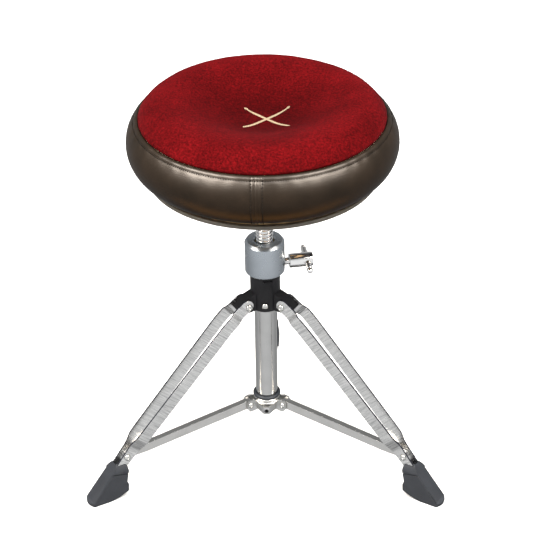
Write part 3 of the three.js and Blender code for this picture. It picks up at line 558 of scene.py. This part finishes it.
def join_rings(work, low, high, segments, flip=False):
    """Faces between two rings of points; a ring may be a single point on the axis."""
    for i in range(segments):
        j = (i + 1) % segments
        corners = [low[i % len(low)], low[j % len(low)], high[j % len(high)], high[i % len(high)]]
        unique = list(dict.fromkeys(corners))
        if flip:
            unique.reverse()
        if len(unique) > 2:
            work.faces.new(unique)


def lathe_mesh(name, profile, segments, place):
    """A closed solid turned about local Z. The profile runs from axis to axis, or is a loop."""
    closed = profile[0] == profile[-1]
    work = bmesh.new()
    rings = []
    for radius, height in profile[:-1] if closed else profile:
        ring = []
        for i in range(1 if radius < ON_AXIS else segments):
            angle = 2 * math.pi * i / segments
            ring.append(work.verts.new((radius * math.cos(angle), radius * math.sin(angle), height)))
        rings.append(ring)
    for low, high in zip(rings, rings[1:] + rings[:1] if closed else rings[1:]):
        join_rings(work, low, high, segments)
    bmesh.ops.recalc_face_normals(work, faces=work.faces)
    bmesh.ops.transform(work, matrix=place, verts=work.verts)
    return mesh_from(name, work)


def turned(name, profile, segments, place, material):
    """A new object in the scene, turned from a profile."""
    return link_mesh(lathe_mesh(name, profile, segments, place), material)


def cylinder_mesh(radius, start, end, place):
    """A plain cylinder, used only to cut holes."""
    return lathe_mesh("cylinder", [(0, start), (radius, start), (radius, end), (0, end)], 40, place)


def along(origin, direction):
    """A matrix that takes local Z to a direction, at an origin."""
    turn = direction.to_track_quat("Z", "Y").to_matrix().to_4x4()
    return Matrix.Translation(origin) @ turn


def welded_copy(node):
    """A CAD node's mesh for editing, with its touching points joined."""
    work = bmesh.new()
    work.from_mesh(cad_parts[node].data)
    bmesh.ops.remove_doubles(work, verts=work.verts, dist=WELD)
    return work


def refined_copy(node, body, material, bevel, segments=2):
    """Replaces a CAD node with a copy that has its flat faces merged and its edges rounded."""
    work = welded_copy(node)
    bmesh.ops.dissolve_limit(work, angle_limit=math.radians(1.0), verts=work.verts, edges=work.edges)
    piece = link_mesh(mesh_from(node + "_finished", work), material)
    if bevel > 0:
        modifier = piece.modifiers.new("edges", "BEVEL")
        modifier.width = bevel
        modifier.segments = segments
        modifier.limit_method = "ANGLE"
        modifier.angle_limit = math.radians(32)
    finish_piece(piece, body, (node,))


def cut_away(piece, cutter_mesh, crosses_itself=False):
    """Cuts a closed shape out of a piece, for good."""
    cutter = bpy.data.objects.new("cutter", cutter_mesh)
    bpy.context.scene.collection.objects.link(cutter)
    cut = piece.modifiers.new("cut", "BOOLEAN")
    cut.object = cutter
    cut.solver = "EXACT"
    cut.use_self = crosses_itself
    graph = bpy.context.evaluated_depsgraph_get()
    finished = bpy.data.meshes.new_from_object(piece.evaluated_get(graph))
    piece.modifiers.clear()
    old = piece.data
    piece.data = finished
    bpy.data.meshes.remove(old)
    bpy.data.objects.remove(cutter)
    bpy.data.meshes.remove(cutter_mesh)


# ==== seat ==================================================================================
SIDE_LINES = [  # lines round the band: distance below the top seam, width, push outward
    (TOPSTITCH_DROP, 1.3 * MM, -0.5 * MM),
    (3.5 * MM, 2.6 * MM, 0.5 * MM),
    (0, 1.2 * MM, -0.9 * MM),
]
FRONT_LINES = [  # lines down the front seam: distance sideways, width, push outward
    (0, 2.6 * MM, -0.7 * MM),
    (0, 1.2 * MM, 1.2 * MM),
    (3.8 * MM, 1.6 * MM, 0.35 * MM),
    (-3.8 * MM, 1.6 * MM, 0.35 * MM),
    (SEAM_ROW_OFFSET, 0.9 * MM, -0.3 * MM),
    (-SEAM_ROW_OFFSET, 0.9 * MM, -0.3 * MM),
]
SIDE_GATHERS = 46  # puckers round the band
TOP_GATHERS = 38  # and round the top panel
BAND_INSET = 0.4 * MM  # each cover starts inside the CAD's surface, so that its humps stay in it
PANEL_INSET = 0.5 * MM
FOAM_SHRINK = 4 * MM
FOAM_TAPER = 0.06  # a further pull inward, as a share of the radius

Stitch = namedtuple("Stitch", "pitch radius sunk")
TOPSTITCH = Stitch(pitch=3.0 * MM, radius=0.62 * MM, sunk=0.5 * MM)
TOPSTITCH_LENGTH = 1.9 * MM
SEAM_STITCH = Stitch(pitch=3.9 * MM, radius=0.6 * MM, sunk=0.35 * MM)
SEAM_STITCH_LENGTH = 2.3 * MM
SATIN_STITCH = Stitch(pitch=0.55 * MM, radius=0.36 * MM, sunk=0.3 * MM)  # as long as a stick is wide
SATIN_SLANT = 0.25


def side_profile(steps):
    """(radius, height) from the bottom edge round the equator to the seam."""
    low_a = (SEAT_R - SEAT_BOTTOM_R) / (1 - math.cos(BELLY_ARC))
    low_b = (EQUATOR_Z - SEAT_BOTTOM_Z) / math.sin(BELLY_ARC)
    high_a = (SEAT_R - SEAM_R) / (1 - math.cos(SHOULDER_ARC))
    high_b = (SEAM_Z - EQUATOR_Z) / math.sin(SHOULDER_ARC)
    low = ellipse_arc((SEAT_R - low_a, EQUATOR_Z), (low_a, low_b), -BELLY_ARC, 0, steps)
    high = ellipse_arc((SEAT_R - high_a, EQUATOR_Z), (high_a, high_b), 0, SHOULDER_ARC, steps)
    return low + high[1:]


def top_profile(roll_steps, dish_steps):
    """(radius, height) from the seam over the crown to the dished centre."""
    a = (SEAM_R - CROWN_R) / math.sin(CROWN_ARC)
    b = (CROWN_Z - SEAM_Z) / (1 - math.cos(CROWN_ARC))
    quarter = math.pi / 2
    points = ellipse_arc((CROWN_R, CROWN_Z - b), (a, b), quarter - CROWN_ARC, quarter, roll_steps)
    for i in range(dish_steps - 1, -1, -1):
        radius = CROWN_R * (i / dish_steps)
        points.append((radius, top_height(radius)))
    return points


def top_height(radius):
    """Height of the dished middle at a radius inside the crown."""
    share = (radius - DISH_FLAT_R) / (CROWN_R - DISH_FLAT_R)
    rise = math.sin(math.pi / 2 * min(max(share, 0.0), 1.0)) ** 2
    return CROWN_Z - DISH_DEPTH * (1 - rise)


def outward_normals(profile):
    """The outward (radial, upward) direction at each point of a profile."""
    normals = []
    for i in range(len(profile)):
        before = Vector(profile[max(i - 1, 0)])
        after = Vector(profile[min(i + 1, len(profile) - 1)])
        step = (after - before).normalized()
        normals.append(Vector((step.y, -step.x)))
    return normals


def arc_lengths(profile):
    """The distance along a profile from its start to each of its points."""
    lengths = [0.0]
    for a, b in zip(profile, profile[1:]):
        lengths.append(lengths[-1] + math.dist(a, b))
    return lengths


def skin_mesh(name, profile, relief, segments):
    """A closed skin: the profile turned about the column, pushed out by relief(angle, index)."""
    normals = outward_normals(profile)
    closes_on_axis = profile[-1][0] < ON_AXIS
    work = bmesh.new()
    layers = []
    for depth in (0.0, COVER_THICKNESS):
        rings = []
        for index, (radius, height) in enumerate(profile):
            on_axis = closes_on_axis and index == len(profile) - 1
            ring = []
            for i in range(1 if on_axis else segments):
                angle = 2 * math.pi * i / segments
                push = relief(angle, index) - depth
                r = radius + (0 if on_axis else normals[index].x * push)
                z = height + normals[index].y * push
                ring.append(work.verts.new((COLUMN.x + r * math.cos(angle),
                                            COLUMN.y + r * math.sin(angle), z)))
            rings.append(ring)
        layers.append(rings)
    outer, inner = layers
    for rings, flip in ((outer, False), (inner, True)):
        for low, high in zip(rings, rings[1:]):
            join_rings(work, low, high, segments, flip)
    join_rings(work, inner[0], outer[0], segments)
    if not closes_on_axis:
        join_rings(work, outer[-1], inner[-1], segments)
    bmesh.ops.recalc_face_normals(work, faces=work.faces)
    return mesh_from(name, work)


def angle_gap(angle, target):
    """The signed turn from target to angle, by the shorter way."""
    return (angle - target + math.pi) % (2 * math.pi) - math.pi


def bump_at(distance, width):
    """A smooth hump of height 1 at distance 0, gone by about twice the width."""
    return math.exp(-((distance / width) ** 2))


def seat_noise(angle, height, scale, seed):
    """Smooth random value on the seat's surface, the same on each run."""
    return noise.noise(Vector((math.cos(angle) * scale, math.sin(angle) * scale, height * 12 + seed)))


def make_side_band(profile, lit):
    """The vinyl cover: seam valleys, rolls beside them, and gathers at both edges."""
    lengths = arc_lengths(profile)

    def relief(angle, index):
        from_bottom = lengths[index]
        from_seam = lengths[-1] - from_bottom
        push = 0.35 * MM * seat_noise(angle, profile[index][1], scale=2.2, seed=1.0)
        for distance, width, amount in SIDE_LINES:
            push += amount * bump_at(from_seam - distance, width)
        gather = 0.5 * MM * math.sin(angle * SIDE_GATHERS + 3 * seat_noise(angle, 0, 3.0, seed=5.0))
        push += 0.35 * gather * bump_at(from_seam - TOPSTITCH_DROP, 7 * MM)
        push += 0.5 * gather * bump_at(from_bottom, 9 * MM)
        sideways = angle_gap(angle, FRONT_SEAM) * profile[index][0]
        fade = min(1.0, from_seam / (2 * MM))
        for distance, width, amount in FRONT_LINES:
            push += amount * bump_at(sideways - distance, width) * fade
        return push - BAND_INSET

    piece = link_mesh(skin_mesh("seat_side_cover", profile, relief, 720 * DETAIL), "vinyl")
    lit.objects.link(piece)
    finish_piece(piece, "seat", ("seat_side_band",), None)


def make_top_panel():
    """The suede cover: soft waves, a tuck at the seam and small gathers beside it."""
    profile = top_profile(12 * DETAIL, 26 * DETAIL)
    lengths = arc_lengths(profile)

    def relief(angle, index):
        radius, height = profile[index]
        from_seam = lengths[index]
        settled = min(1.0, from_seam / (12 * MM))
        push = 0.7 * MM * seat_noise(angle, height, 2.0 * radius / SEAM_R, seed=3.0) * settled
        push += 0.25 * MM * seat_noise(angle, height, 7.0 * radius / SEAM_R, seed=9.0) * settled
        push -= 1.0 * MM * bump_at(from_seam, 1.6 * MM)
        gather = math.sin(angle * TOP_GATHERS + 4 * seat_noise(angle, 0, 2.5, seed=2.0))
        push += 0.18 * MM * gather * bump_at(from_seam, 9 * MM)
        centre_fade = min(1.0, radius / (20 * MM))
        return push * centre_fade - PANEL_INSET

    piece = link_mesh(skin_mesh("seat_top_cover", profile, relief, 360 * DETAIL), "suede")
    finish_piece(piece, "seat", ("seat_top_panel",), None)


def add_stitch(work, spot, direction, out, stitch, length):
    """One thread stitch: a slim rounded bead, sunk a little into the cover."""
    turn = Matrix((out, direction.cross(out), direction)).transposed().to_4x4()
    place = Matrix.Translation(spot - out * stitch.sunk) @ turn
    size = Matrix.Diagonal((stitch.radius * 0.75, stitch.radius, length / 2, 1))
    bmesh.ops.create_uvsphere(work, u_segments=8, v_segments=6, radius=1.0, matrix=place @ size)


def point_on_band(profile, from_seam):
    """The place, outward normal and upward direction on a profile, at a distance from its end."""
    lengths = arc_lengths(profile)
    target = lengths[-1] - from_seam
    index = next(i for i, length in enumerate(lengths) if i > 0 and length >= target)
    share = (target - lengths[index - 1]) / (lengths[index] - lengths[index - 1])
    low, high = Vector(profile[index - 1]), Vector(profile[index])
    step = (high - low).normalized()
    return low.lerp(high, share), Vector((step.y, -step.x)), step


def swung(flat, angle):
    """A (radial, upward) vector as one in space, at an angle round the column."""
    return Vector((flat.x * math.cos(angle), flat.x * math.sin(angle), flat.y))


def make_band_stitches(profile):
    """The row under the top seam and the two rows beside the front seam."""
    work = bmesh.new()
    spot, normal, _ = point_on_band(profile, TOPSTITCH_DROP)
    count = round(2 * math.pi * spot.x / TOPSTITCH.pitch)
    for i in range(count):
        angle = 2 * math.pi * i / count
        add_stitch(work, COLUMN + swung(spot, angle), tangent_at(angle), swung(normal, angle),
                   TOPSTITCH, TOPSTITCH_LENGTH)
    first, clear_end = 2.5 * MM, 3 * MM
    steps = math.ceil((arc_lengths(profile)[-1] - clear_end - first) / SEAM_STITCH.pitch)
    for side in (-1, 1):
        for i in range(steps):
            spot, normal, up_band = point_on_band(profile, first + i * SEAM_STITCH.pitch)
            angle = FRONT_SEAM + side * SEAM_ROW_OFFSET / spot.x
            add_stitch(work, COLUMN + swung(spot, angle), swung(up_band, angle), swung(normal, angle),
                       SEAM_STITCH, SEAM_STITCH_LENGTH)
    piece = link_mesh(mesh_from("seat_band_stitches", work), "dark_thread")
    finish_piece(piece, "seat", (), None)


def make_motif():
    """A pair of crossed drumsticks in raised satin stitch, in the middle of the seat."""
    work = bmesh.new()
    count = round(2 * STICK_HALF_LENGTH / SATIN_STITCH.pitch)
    for turn in STICK_TURNS:
        axis = Vector((math.cos(turn), math.sin(turn), 0))
        slant = (UP.cross(axis) + axis * SATIN_SLANT).normalized()
        for i in range(count):
            share = 2 * i / (count - 1) - 1
            width = stick_half_width(share)
            if width <= 0:
                continue
            middle = axis * (share * STICK_HALF_LENGTH) + MOTIF_SHIFT
            spot = COLUMN + middle + UP * top_height(middle.length)
            add_stitch(work, spot, slant, UP, SATIN_STITCH, 2 * width)
    piece = link_mesh(mesh_from("seat_motif_stitches", work), "cream_thread")
    finish_piece(piece, "seat", (), None)


def stick_half_width(share):
    """Half width of a drumstick, from its butt at -1 to the bead tip at 1."""
    taper_from, bead_from, bead_middle, bead_half = 0.45, 0.86, 0.93, 0.07
    if share > bead_from:
        bead = 1.0 - ((share - bead_middle) / bead_half) ** 2
        return STICK_HALF_WIDTH * math.sqrt(max(bead, 0))
    if share > taper_from:
        return STICK_HALF_WIDTH * (1 - 0.45 * (share - taper_from) / (bead_from - taper_from))
    butt = min(1.0, (share + 1.0) / 0.05)
    return STICK_HALF_WIDTH * math.sqrt(max(butt, 0.05))


def make_foam():
    """The foam core, drawn in so that it never shows between the covers."""
    work = welded_copy("seat_foam")
    work.normal_update()
    for vertex in work.verts:
        outward = Vector((vertex.co.x - COLUMN.x, vertex.co.y - COLUMN.y, 0))
        vertex.co -= vertex.normal * FOAM_SHRINK + outward * FOAM_TAPER
    piece = link_mesh(mesh_from("seat_foam_core", work), "foam")
    finish_piece(piece, "seat", ("seat_foam",), 40)


def make_seam_tape():
    """The sewn seam's allowance, folded in behind both covers."""
    inner, outer = SEAM_R - 6 * MM, SEAM_R - 1.9 * MM
    profile = [(inner, SEAM_Z - 0.4 * MM), (outer, SEAM_Z - 1.4 * MM), (outer, SEAM_Z + 1.0 * MM),
               (inner, SEAM_Z + 1.6 * MM), (inner, SEAM_Z - 0.4 * MM)]
    finish_piece(turned("seat_seam_tape", profile, 180, ON_COLUMN, "vinyl"), "seat")


def make_edge_trim():
    """The moulding round the seat's lower edge."""
    outer = (TRIM_HIGH.x - TRIM_LOW.x) / 2
    inner = outer - 5.8 * MM
    low, high = TRIM_LOW.z, TRIM_HIGH.z
    profile = [(inner, low), *lower_round(outer, low, 2 * MM, 6), *upper_round(outer, high, 1.2 * MM, 4),
               (inner, high), (inner, low)]
    piece = turned("seat_edge_moulding", profile, 180, ON_COLUMN, "trim")
    finish_piece(piece, "seat", ("seat_edge_trim",))


def make_seat_underside():
    """The board, dust cover and bracket, with their bolts."""
    refined_copy("seat_board", "seat", "wood", 0.5 * MM)
    refined_copy("seat_dust_cover", "seat", "cloth", 0)
    refined_copy("seat_bracket", "seat", "black_steel", 0.5 * MM)
    refined_copy("bracket_clamp_bolt", "seat", "zinc", 0.5 * MM)
    for i in range(1, 5):
        refined_copy(f"bracket_bolt_{i}", "seat", "zinc", 0.4 * MM)
        refined_copy(f"bracket_t_nut_{i}", "seat", "zinc", 0.15 * MM)


# ==== spindle, collar and lock ==============================================================
THREAD_PITCH = 5 * MM
THREAD_DEPTH = 1.9 * MM
THREAD_SHAPE = [0.0, 0.0, 0.12, 1.0, 1.0, 1.0, 0.88, 0.0]  # root 0 to crest 1, over one pitch
THREAD_RUNOUT = 1.2 * THREAD_PITCH
END_CHAMFER = 1.0 * MM
END_CHAMFER_LENGTH = 1.5 * MM


def thread_mesh(name, radius, low, high, sides):
    """A screw on the column's axis: a trapezoid thread that runs out into chamfered ends."""
    steps = len(THREAD_SHAPE)
    rows = round((high - low) / THREAD_PITCH * steps)

    def radius_at(z, angle):
        phase = ((z - low) / THREAD_PITCH - angle / (2 * math.pi)) % 1.0 * steps
        i = int(phase) % steps
        share = phase - int(phase)
        height = THREAD_SHAPE[i] * (1 - share) + THREAD_SHAPE[(i + 1) % steps] * share
        from_end = max(min(z - low, high - z), 0.0)
        cut = THREAD_DEPTH * (1 - height) * min(1.0, from_end / THREAD_RUNOUT)
        return radius - cut - END_CHAMFER * (1 - min(1.0, from_end / END_CHAMFER_LENGTH))

    work = bmesh.new()
    rings = []
    for row in range(rows + 1):
        z = low + (high - low) * row / rows
        ring = []
        for i in range(sides):
            angle = 2 * math.pi * i / sides
            r = radius_at(z, angle)
            ring.append(work.verts.new((r * math.cos(angle), r * math.sin(angle), z)))
        rings.append(ring)
    for a, b in zip(rings, rings[1:]):
        join_rings(work, a, b, sides)
    work.faces.new(list(reversed(rings[0])))
    work.faces.new(rings[-1])
    bmesh.ops.recalc_face_normals(work, faces=work.faces)
    bmesh.ops.transform(work, matrix=ON_COLUMN, verts=work.verts)
    return mesh_from(name, work)


def make_spindle():
    """The screw and the guide on its lower end."""
    low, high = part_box("spindle")
    piece = link_mesh(thread_mesh("spindle_screw", (high.x - low.x) / 2, low.z, high.z, 64), "chrome")
    finish_piece(piece, "seat", ("spindle",), 50)
    refined_copy("spindle_guide", "guide", "nylon", 0.3 * MM)
    refined_copy("guide_screw", "seat", "zinc", 0.2 * MM)


def make_collar():
    """The clamping collar: a broad chamfer on top, a bush inside it and the lock's hole."""
    low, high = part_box("collar_housing")
    outer = (high.x - low.x) / 2
    tube_r = TUBE_R + GAP
    shoulder = TUBE_HIGH.z + GAP
    bore = 16.7 * MM
    mouth = 12.4 * MM
    mouth_chamfer = 1.5 * MM
    lid = high.z - 6 * MM
    edge_r, crown_r = 0.5 * MM, 0.7 * MM
    eighth = math.pi / 4
    chamfer = ellipse_arc((outer - edge_r, high.z - 4.2 * MM), (edge_r, edge_r), 0, eighth, 3)
    chamfer += ellipse_arc((outer - 3.2 * MM, high.z - crown_r), (crown_r, crown_r), eighth,
                           2 * eighth, 3)
    profile = [(tube_r, low.z), *lower_round(outer, low.z, 1.6 * MM, 5), *chamfer,
               (mouth + mouth_chamfer, high.z), (mouth, high.z - mouth_chamfer), (mouth, lid),
               (bore, lid), (bore, shoulder), (tube_r, shoulder), (tube_r, low.z)]
    piece = turned("collar_finished", profile, 128, ON_COLUMN, "satin_chrome")
    cut_away(piece, cylinder_mesh(5.3 * MM, 13 * MM, 32 * MM, along(LOCK_ORIGIN, LOCK_AXIS)))
    finish_piece(piece, "column", ("collar_housing",), 25)
    refined_copy("threaded_bush", "column", "brass", 0.3 * MM)
    refined_copy("lock_plug", "lock_tip", "brass", 0.3 * MM)


def make_t_bolt(bar_place):
    """The clamping bolt: a threaded shank and a barrel with a cross hole for the bar."""
    start, face, end = 17.8 * MM, 30.8 * MM, 61 * MM  # along the lock's axis, from the column's
    barrel = (LOCK_HIGH.z - LOCK_LOW.z) / 2
    root, crest, pitch = 4.3 * MM, 4.9 * MM, 1.5 * MM
    tip_r = 4 * MM
    dimple = end - 0.6 * MM
    threads = []
    z = start + 1 * MM
    while z < face - 2.5 * MM:
        threads += [(root, z), (crest, z + pitch * 0.4), (crest, z + pitch * 0.6)]
        z += pitch
    profile = [(0, start), (tip_r, start), *threads, (root, face), *lower_round(barrel, face, 1 * MM, 4),
               *upper_round(barrel, end, 1 * MM, 4), (5 * MM, end), (4 * MM, dimple), (0, dimple)]
    piece = turned("t_bolt_finished", profile, 64, along(LOCK_ORIGIN, LOCK_AXIS), "chrome")
    cut_away(piece, cylinder_mesh(BAR_R + 0.3 * MM, -15 * MM, 15 * MM, bar_place))
    finish_piece(piece, "t_handle", ("t_bolt",), 30)


def make_t_bar(bar_place):
    """The cross bar: ball ends, with a fine groove short of each."""
    groove_depth = 0.25 * MM
    groove = [(BAR_R, BAR_HALF - 6.6 * MM), (BAR_R - groove_depth, BAR_HALF - 6.3 * MM),
              (BAR_R - groove_depth, BAR_HALF - 5.7 * MM), (BAR_R, BAR_HALF - 5.4 * MM)]
    tip = ellipse_arc((0, BAR_HALF - BAR_R), (BAR_R, BAR_R), 0, math.pi / 2, 8)[:-1]
    upper = [*groove, *tip]
    profile = [(0, -BAR_HALF), *mirrored(upper), *upper, (0, BAR_HALF)]
    piece = turned("t_bar_finished", profile, 40, bar_place, "chrome")
    finish_piece(piece, "t_handle", ("t_bar",), 30)


# ==== column ================================================================================
def make_column():
    """The tube, the hub on it, and the sliding casting with its rubber ring."""
    wall, edge = 1.7 * MM, 0.4 * MM
    low, high = TUBE_LOW.z, TUBE_HIGH.z
    profile = [(TUBE_R - wall, low), (TUBE_R - edge, low), (TUBE_R, low + edge), (TUBE_R, high - edge),
               (TUBE_R - edge, high), (TUBE_R - wall, high), (TUBE_R - wall, low)]
    tube = turned("column_tube_finished", profile, 128, ON_COLUMN, "tube_chrome")
    finish_piece(tube, "column", ("column_tube",), 30)
    refined_copy("tube_end_plug", "column", "black_plastic", 0.4 * MM)
    refined_copy("hub", "column", "black_plastic", 0.7 * MM, 3)
    refined_copy("lower_casting", "lower_collar", "casting", 0.6 * MM, 3)
    refined_copy("set_screw", "lower_collar", "black_steel", 0.2 * MM)
    ring_low, ring_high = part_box("rubber_ring")
    half = (ring_high.z - ring_low.z) / 2
    round_centre = ((ring_high.x - ring_low.x) / 2 - half, (ring_low.z + ring_high.z) / 2)
    bulge = ellipse_arc(round_centre, (half, half), -math.pi / 2, math.pi / 2, 12)
    inner = TUBE_R + GAP
    profile = [(inner, ring_low.z), *bulge, (inner, ring_high.z), (inner, ring_low.z)]
    ring = turned("rubber_ring_finished", profile, 96, ON_COLUMN, "ring_rubber")
    finish_piece(ring, "lower_collar", ("rubber_ring",))


# ==== pins, rivets and screws ===============================================================
SHANK_R = 2.5 * MM
HEAD_HEIGHT = 1.6 * MM


def node_centre(node):
    low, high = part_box(node)
    return (low + high) / 2


def fastener(node, body, profile, place):
    """A turned, zinc-plated piece that stands for a CAD node."""
    piece = turned(node + "_finished", profile, 32, place, "zinc")
    finish_piece(piece, body, (node,), 30)


def headed_pin(node, body, half_shank, head_r, tangent):
    """A rivet with two domed heads, each with a shallow turned dimple."""
    top = half_shank + HEAD_HEIGHT
    dome = ellipse_arc((head_r * 0.45, half_shank), (head_r * 0.55, HEAD_HEIGHT), 0, math.pi / 2, 6)
    dimple = [(1.6 * MM, top), (1.1 * MM, top - 0.5 * MM), (0, top - 0.6 * MM)]
    upper = [(SHANK_R, half_shank), *dome, *dimple]
    fastener(node, body, [*mirrored(upper), *upper], along(node_centre(node), tangent))


def half_rivet(node, body, outward):
    """Half of a leg rivet: a stub in the strip and a domed, dimpled head outside it."""
    start = -2.15 * MM
    head_from = start + 2.7 * MM
    top = head_from + HEAD_HEIGHT
    dome = ellipse_arc((1.9 * MM, head_from), (2.3 * MM, HEAD_HEIGHT), 0, math.pi / 2, 6)
    profile = [(0, start), (SHANK_R, start), (SHANK_R, head_from), *dome,
               (1.3 * MM, top), (0.9 * MM, top - 0.5 * MM), (0, top - 0.6 * MM)]
    fastener(node, body, profile, along(node_centre(node), outward))


def hub_screw(node, outward):
    """A pan-head screw with a cross recess."""
    shank, head_r = 2 * MM, 4 * MM
    seat_r = 19.6 * MM  # where the head meets the hub
    top = seat_r + 2.6 * MM
    dome = ellipse_arc((1.6 * MM, seat_r + 0.8 * MM), (2.4 * MM, 1.8 * MM), 0, math.pi / 2, 6)
    start = TUBE_R + GAP
    profile = [(0, start), (shank, start), (shank, seat_r), (head_r, seat_r), *dome, (0, top)]
    place = along(COLUMN + UP * node_centre(node).z, outward)
    piece = turned(node + "_finished", profile, 40, place, "zinc")
    slot_width, slot_length, slot_depth = 0.8 * MM, 4.2 * MM, 2.4 * MM
    work = bmesh.new()
    for across, along_slot in ((slot_width, slot_length), (slot_length, slot_width)):
        shape = Matrix.Translation((0, 0, top)) @ Matrix.Diagonal((across, along_slot, slot_depth, 1))
        bmesh.ops.create_cube(work, size=1.0, matrix=place @ shape)
    cut_away(piece, mesh_from("cross", work), crosses_itself=True)
    finish_piece(piece, "column", (node,), 30)


# ==== legs ==================================================================================
def make_spoke(place, azimuth):
    """One leg with its brace, foot, pins and hub screw."""
    radial = Vector((math.cos(azimuth), math.sin(azimuth), 0))
    tangent = tangent_at(azimuth)
    leg = "leg_" + place
    for side in "ab":
        refined_copy(f"leg_strip_{side}_{place}", leg, "strip_" + place, 0.55 * MM, 3)
    half_rivet(f"leg_rivet_a_{place}", leg, -tangent)
    half_rivet(f"leg_rivet_b_{place}", leg, tangent)
    headed_pin(f"leg_pin_{place}", "column", 10.65 * MM, 4.6 * MM, tangent)
    headed_pin(f"brace_pin_{place}", "lower_collar", 7.6 * MM, 4.0 * MM, tangent)
    hub_screw(f"hub_screw_{place}", -radial)
    refined_copy(f"brace_{place}", "brace_arm_" + place, "bright_steel", 0.35 * MM)
    refined_copy(f"foot_{place}", leg, "foot_rubber", 0.8 * MM, 3)


# ==== build =================================================================================
MATERIALS = {
    "suede": suede(),
    "vinyl": vinyl(),
    "wood": wood(),
    "cloth": cloth_black(),
    "foam": foam_yellow(),
    "dark_thread": thread("dark_thread", (0.002, 0.0015, 0.001), (0.012, 0.009, 0.007)),
    "cream_thread": thread("cream_thread", (0.15, 0.11, 0.065), (0.30, 0.235, 0.155)),
    "trim": moulded("edge_trim", (0.045, 0.038, 0.028), 0.32, 900.0, 0.04 * MM),
    "chrome": plated_metal("chrome", (0.82, 0.81, 0.80), 0.09),
    "tube_chrome": plated_metal("tube_chrome", (0.48, 0.475, 0.465), 0.15),
    "satin_chrome": plated_metal("satin_chrome", (0.40, 0.43, 0.46), 0.25, 0.45),
    "bright_steel": plated_metal("bright_steel", (0.60, 0.59, 0.57), 0.2, 0.4),
    "casting": plated_metal("casting", (0.60, 0.595, 0.58), 0.28, 0.5),
    "zinc": plated_metal("zinc_plate", (0.70, 0.69, 0.66), 0.22, 0.3),
    "brass": plated_metal("brass", (0.72, 0.5, 0.18), 0.28),
    "black_steel": moulded("black_steel", (0.016, 0.016, 0.017), 0.42, 1100.0, 0.06 * MM),
    "black_plastic": moulded("black_plastic", (0.006, 0.006, 0.007), 0.36, 1300.0, 0.05 * MM,
                             specular=0.15),
    "nylon": moulded("nylon", (0.72, 0.70, 0.62), 0.45, 900.0, 0.03 * MM, mottling=0.06),
    "ring_rubber": moulded("ring_rubber", (0.016, 0.019, 0.024), 0.5, 1200.0, 0.05 * MM),
    "foot_rubber": moulded("foot_rubber", (0.0115, 0.0135, 0.018), 0.62, 1000.0, 0.08 * MM,
                           mottling=0.16),
}
for place, azimuth in SPOKES.items():
    MATERIALS["strip_" + place] = strip_chrome(place, azimuth)

make_camera()
make_world()
make_floor()
cover_lit = make_lights()
band_profile = side_profile(16 * DETAIL)
make_side_band(band_profile, cover_lit)
make_top_panel()
make_band_stitches(band_profile)
make_motif()
make_foam()
make_seam_tape()
make_edge_trim()
make_seat_underside()
make_spindle()
make_collar()
bar_place = along(node_centre("t_bar"), BAR_AXIS)
make_t_bolt(bar_place)
make_t_bar(bar_place)
make_column()
for place, azimuth in SPOKES.items():
    make_spoke(place, azimuth)
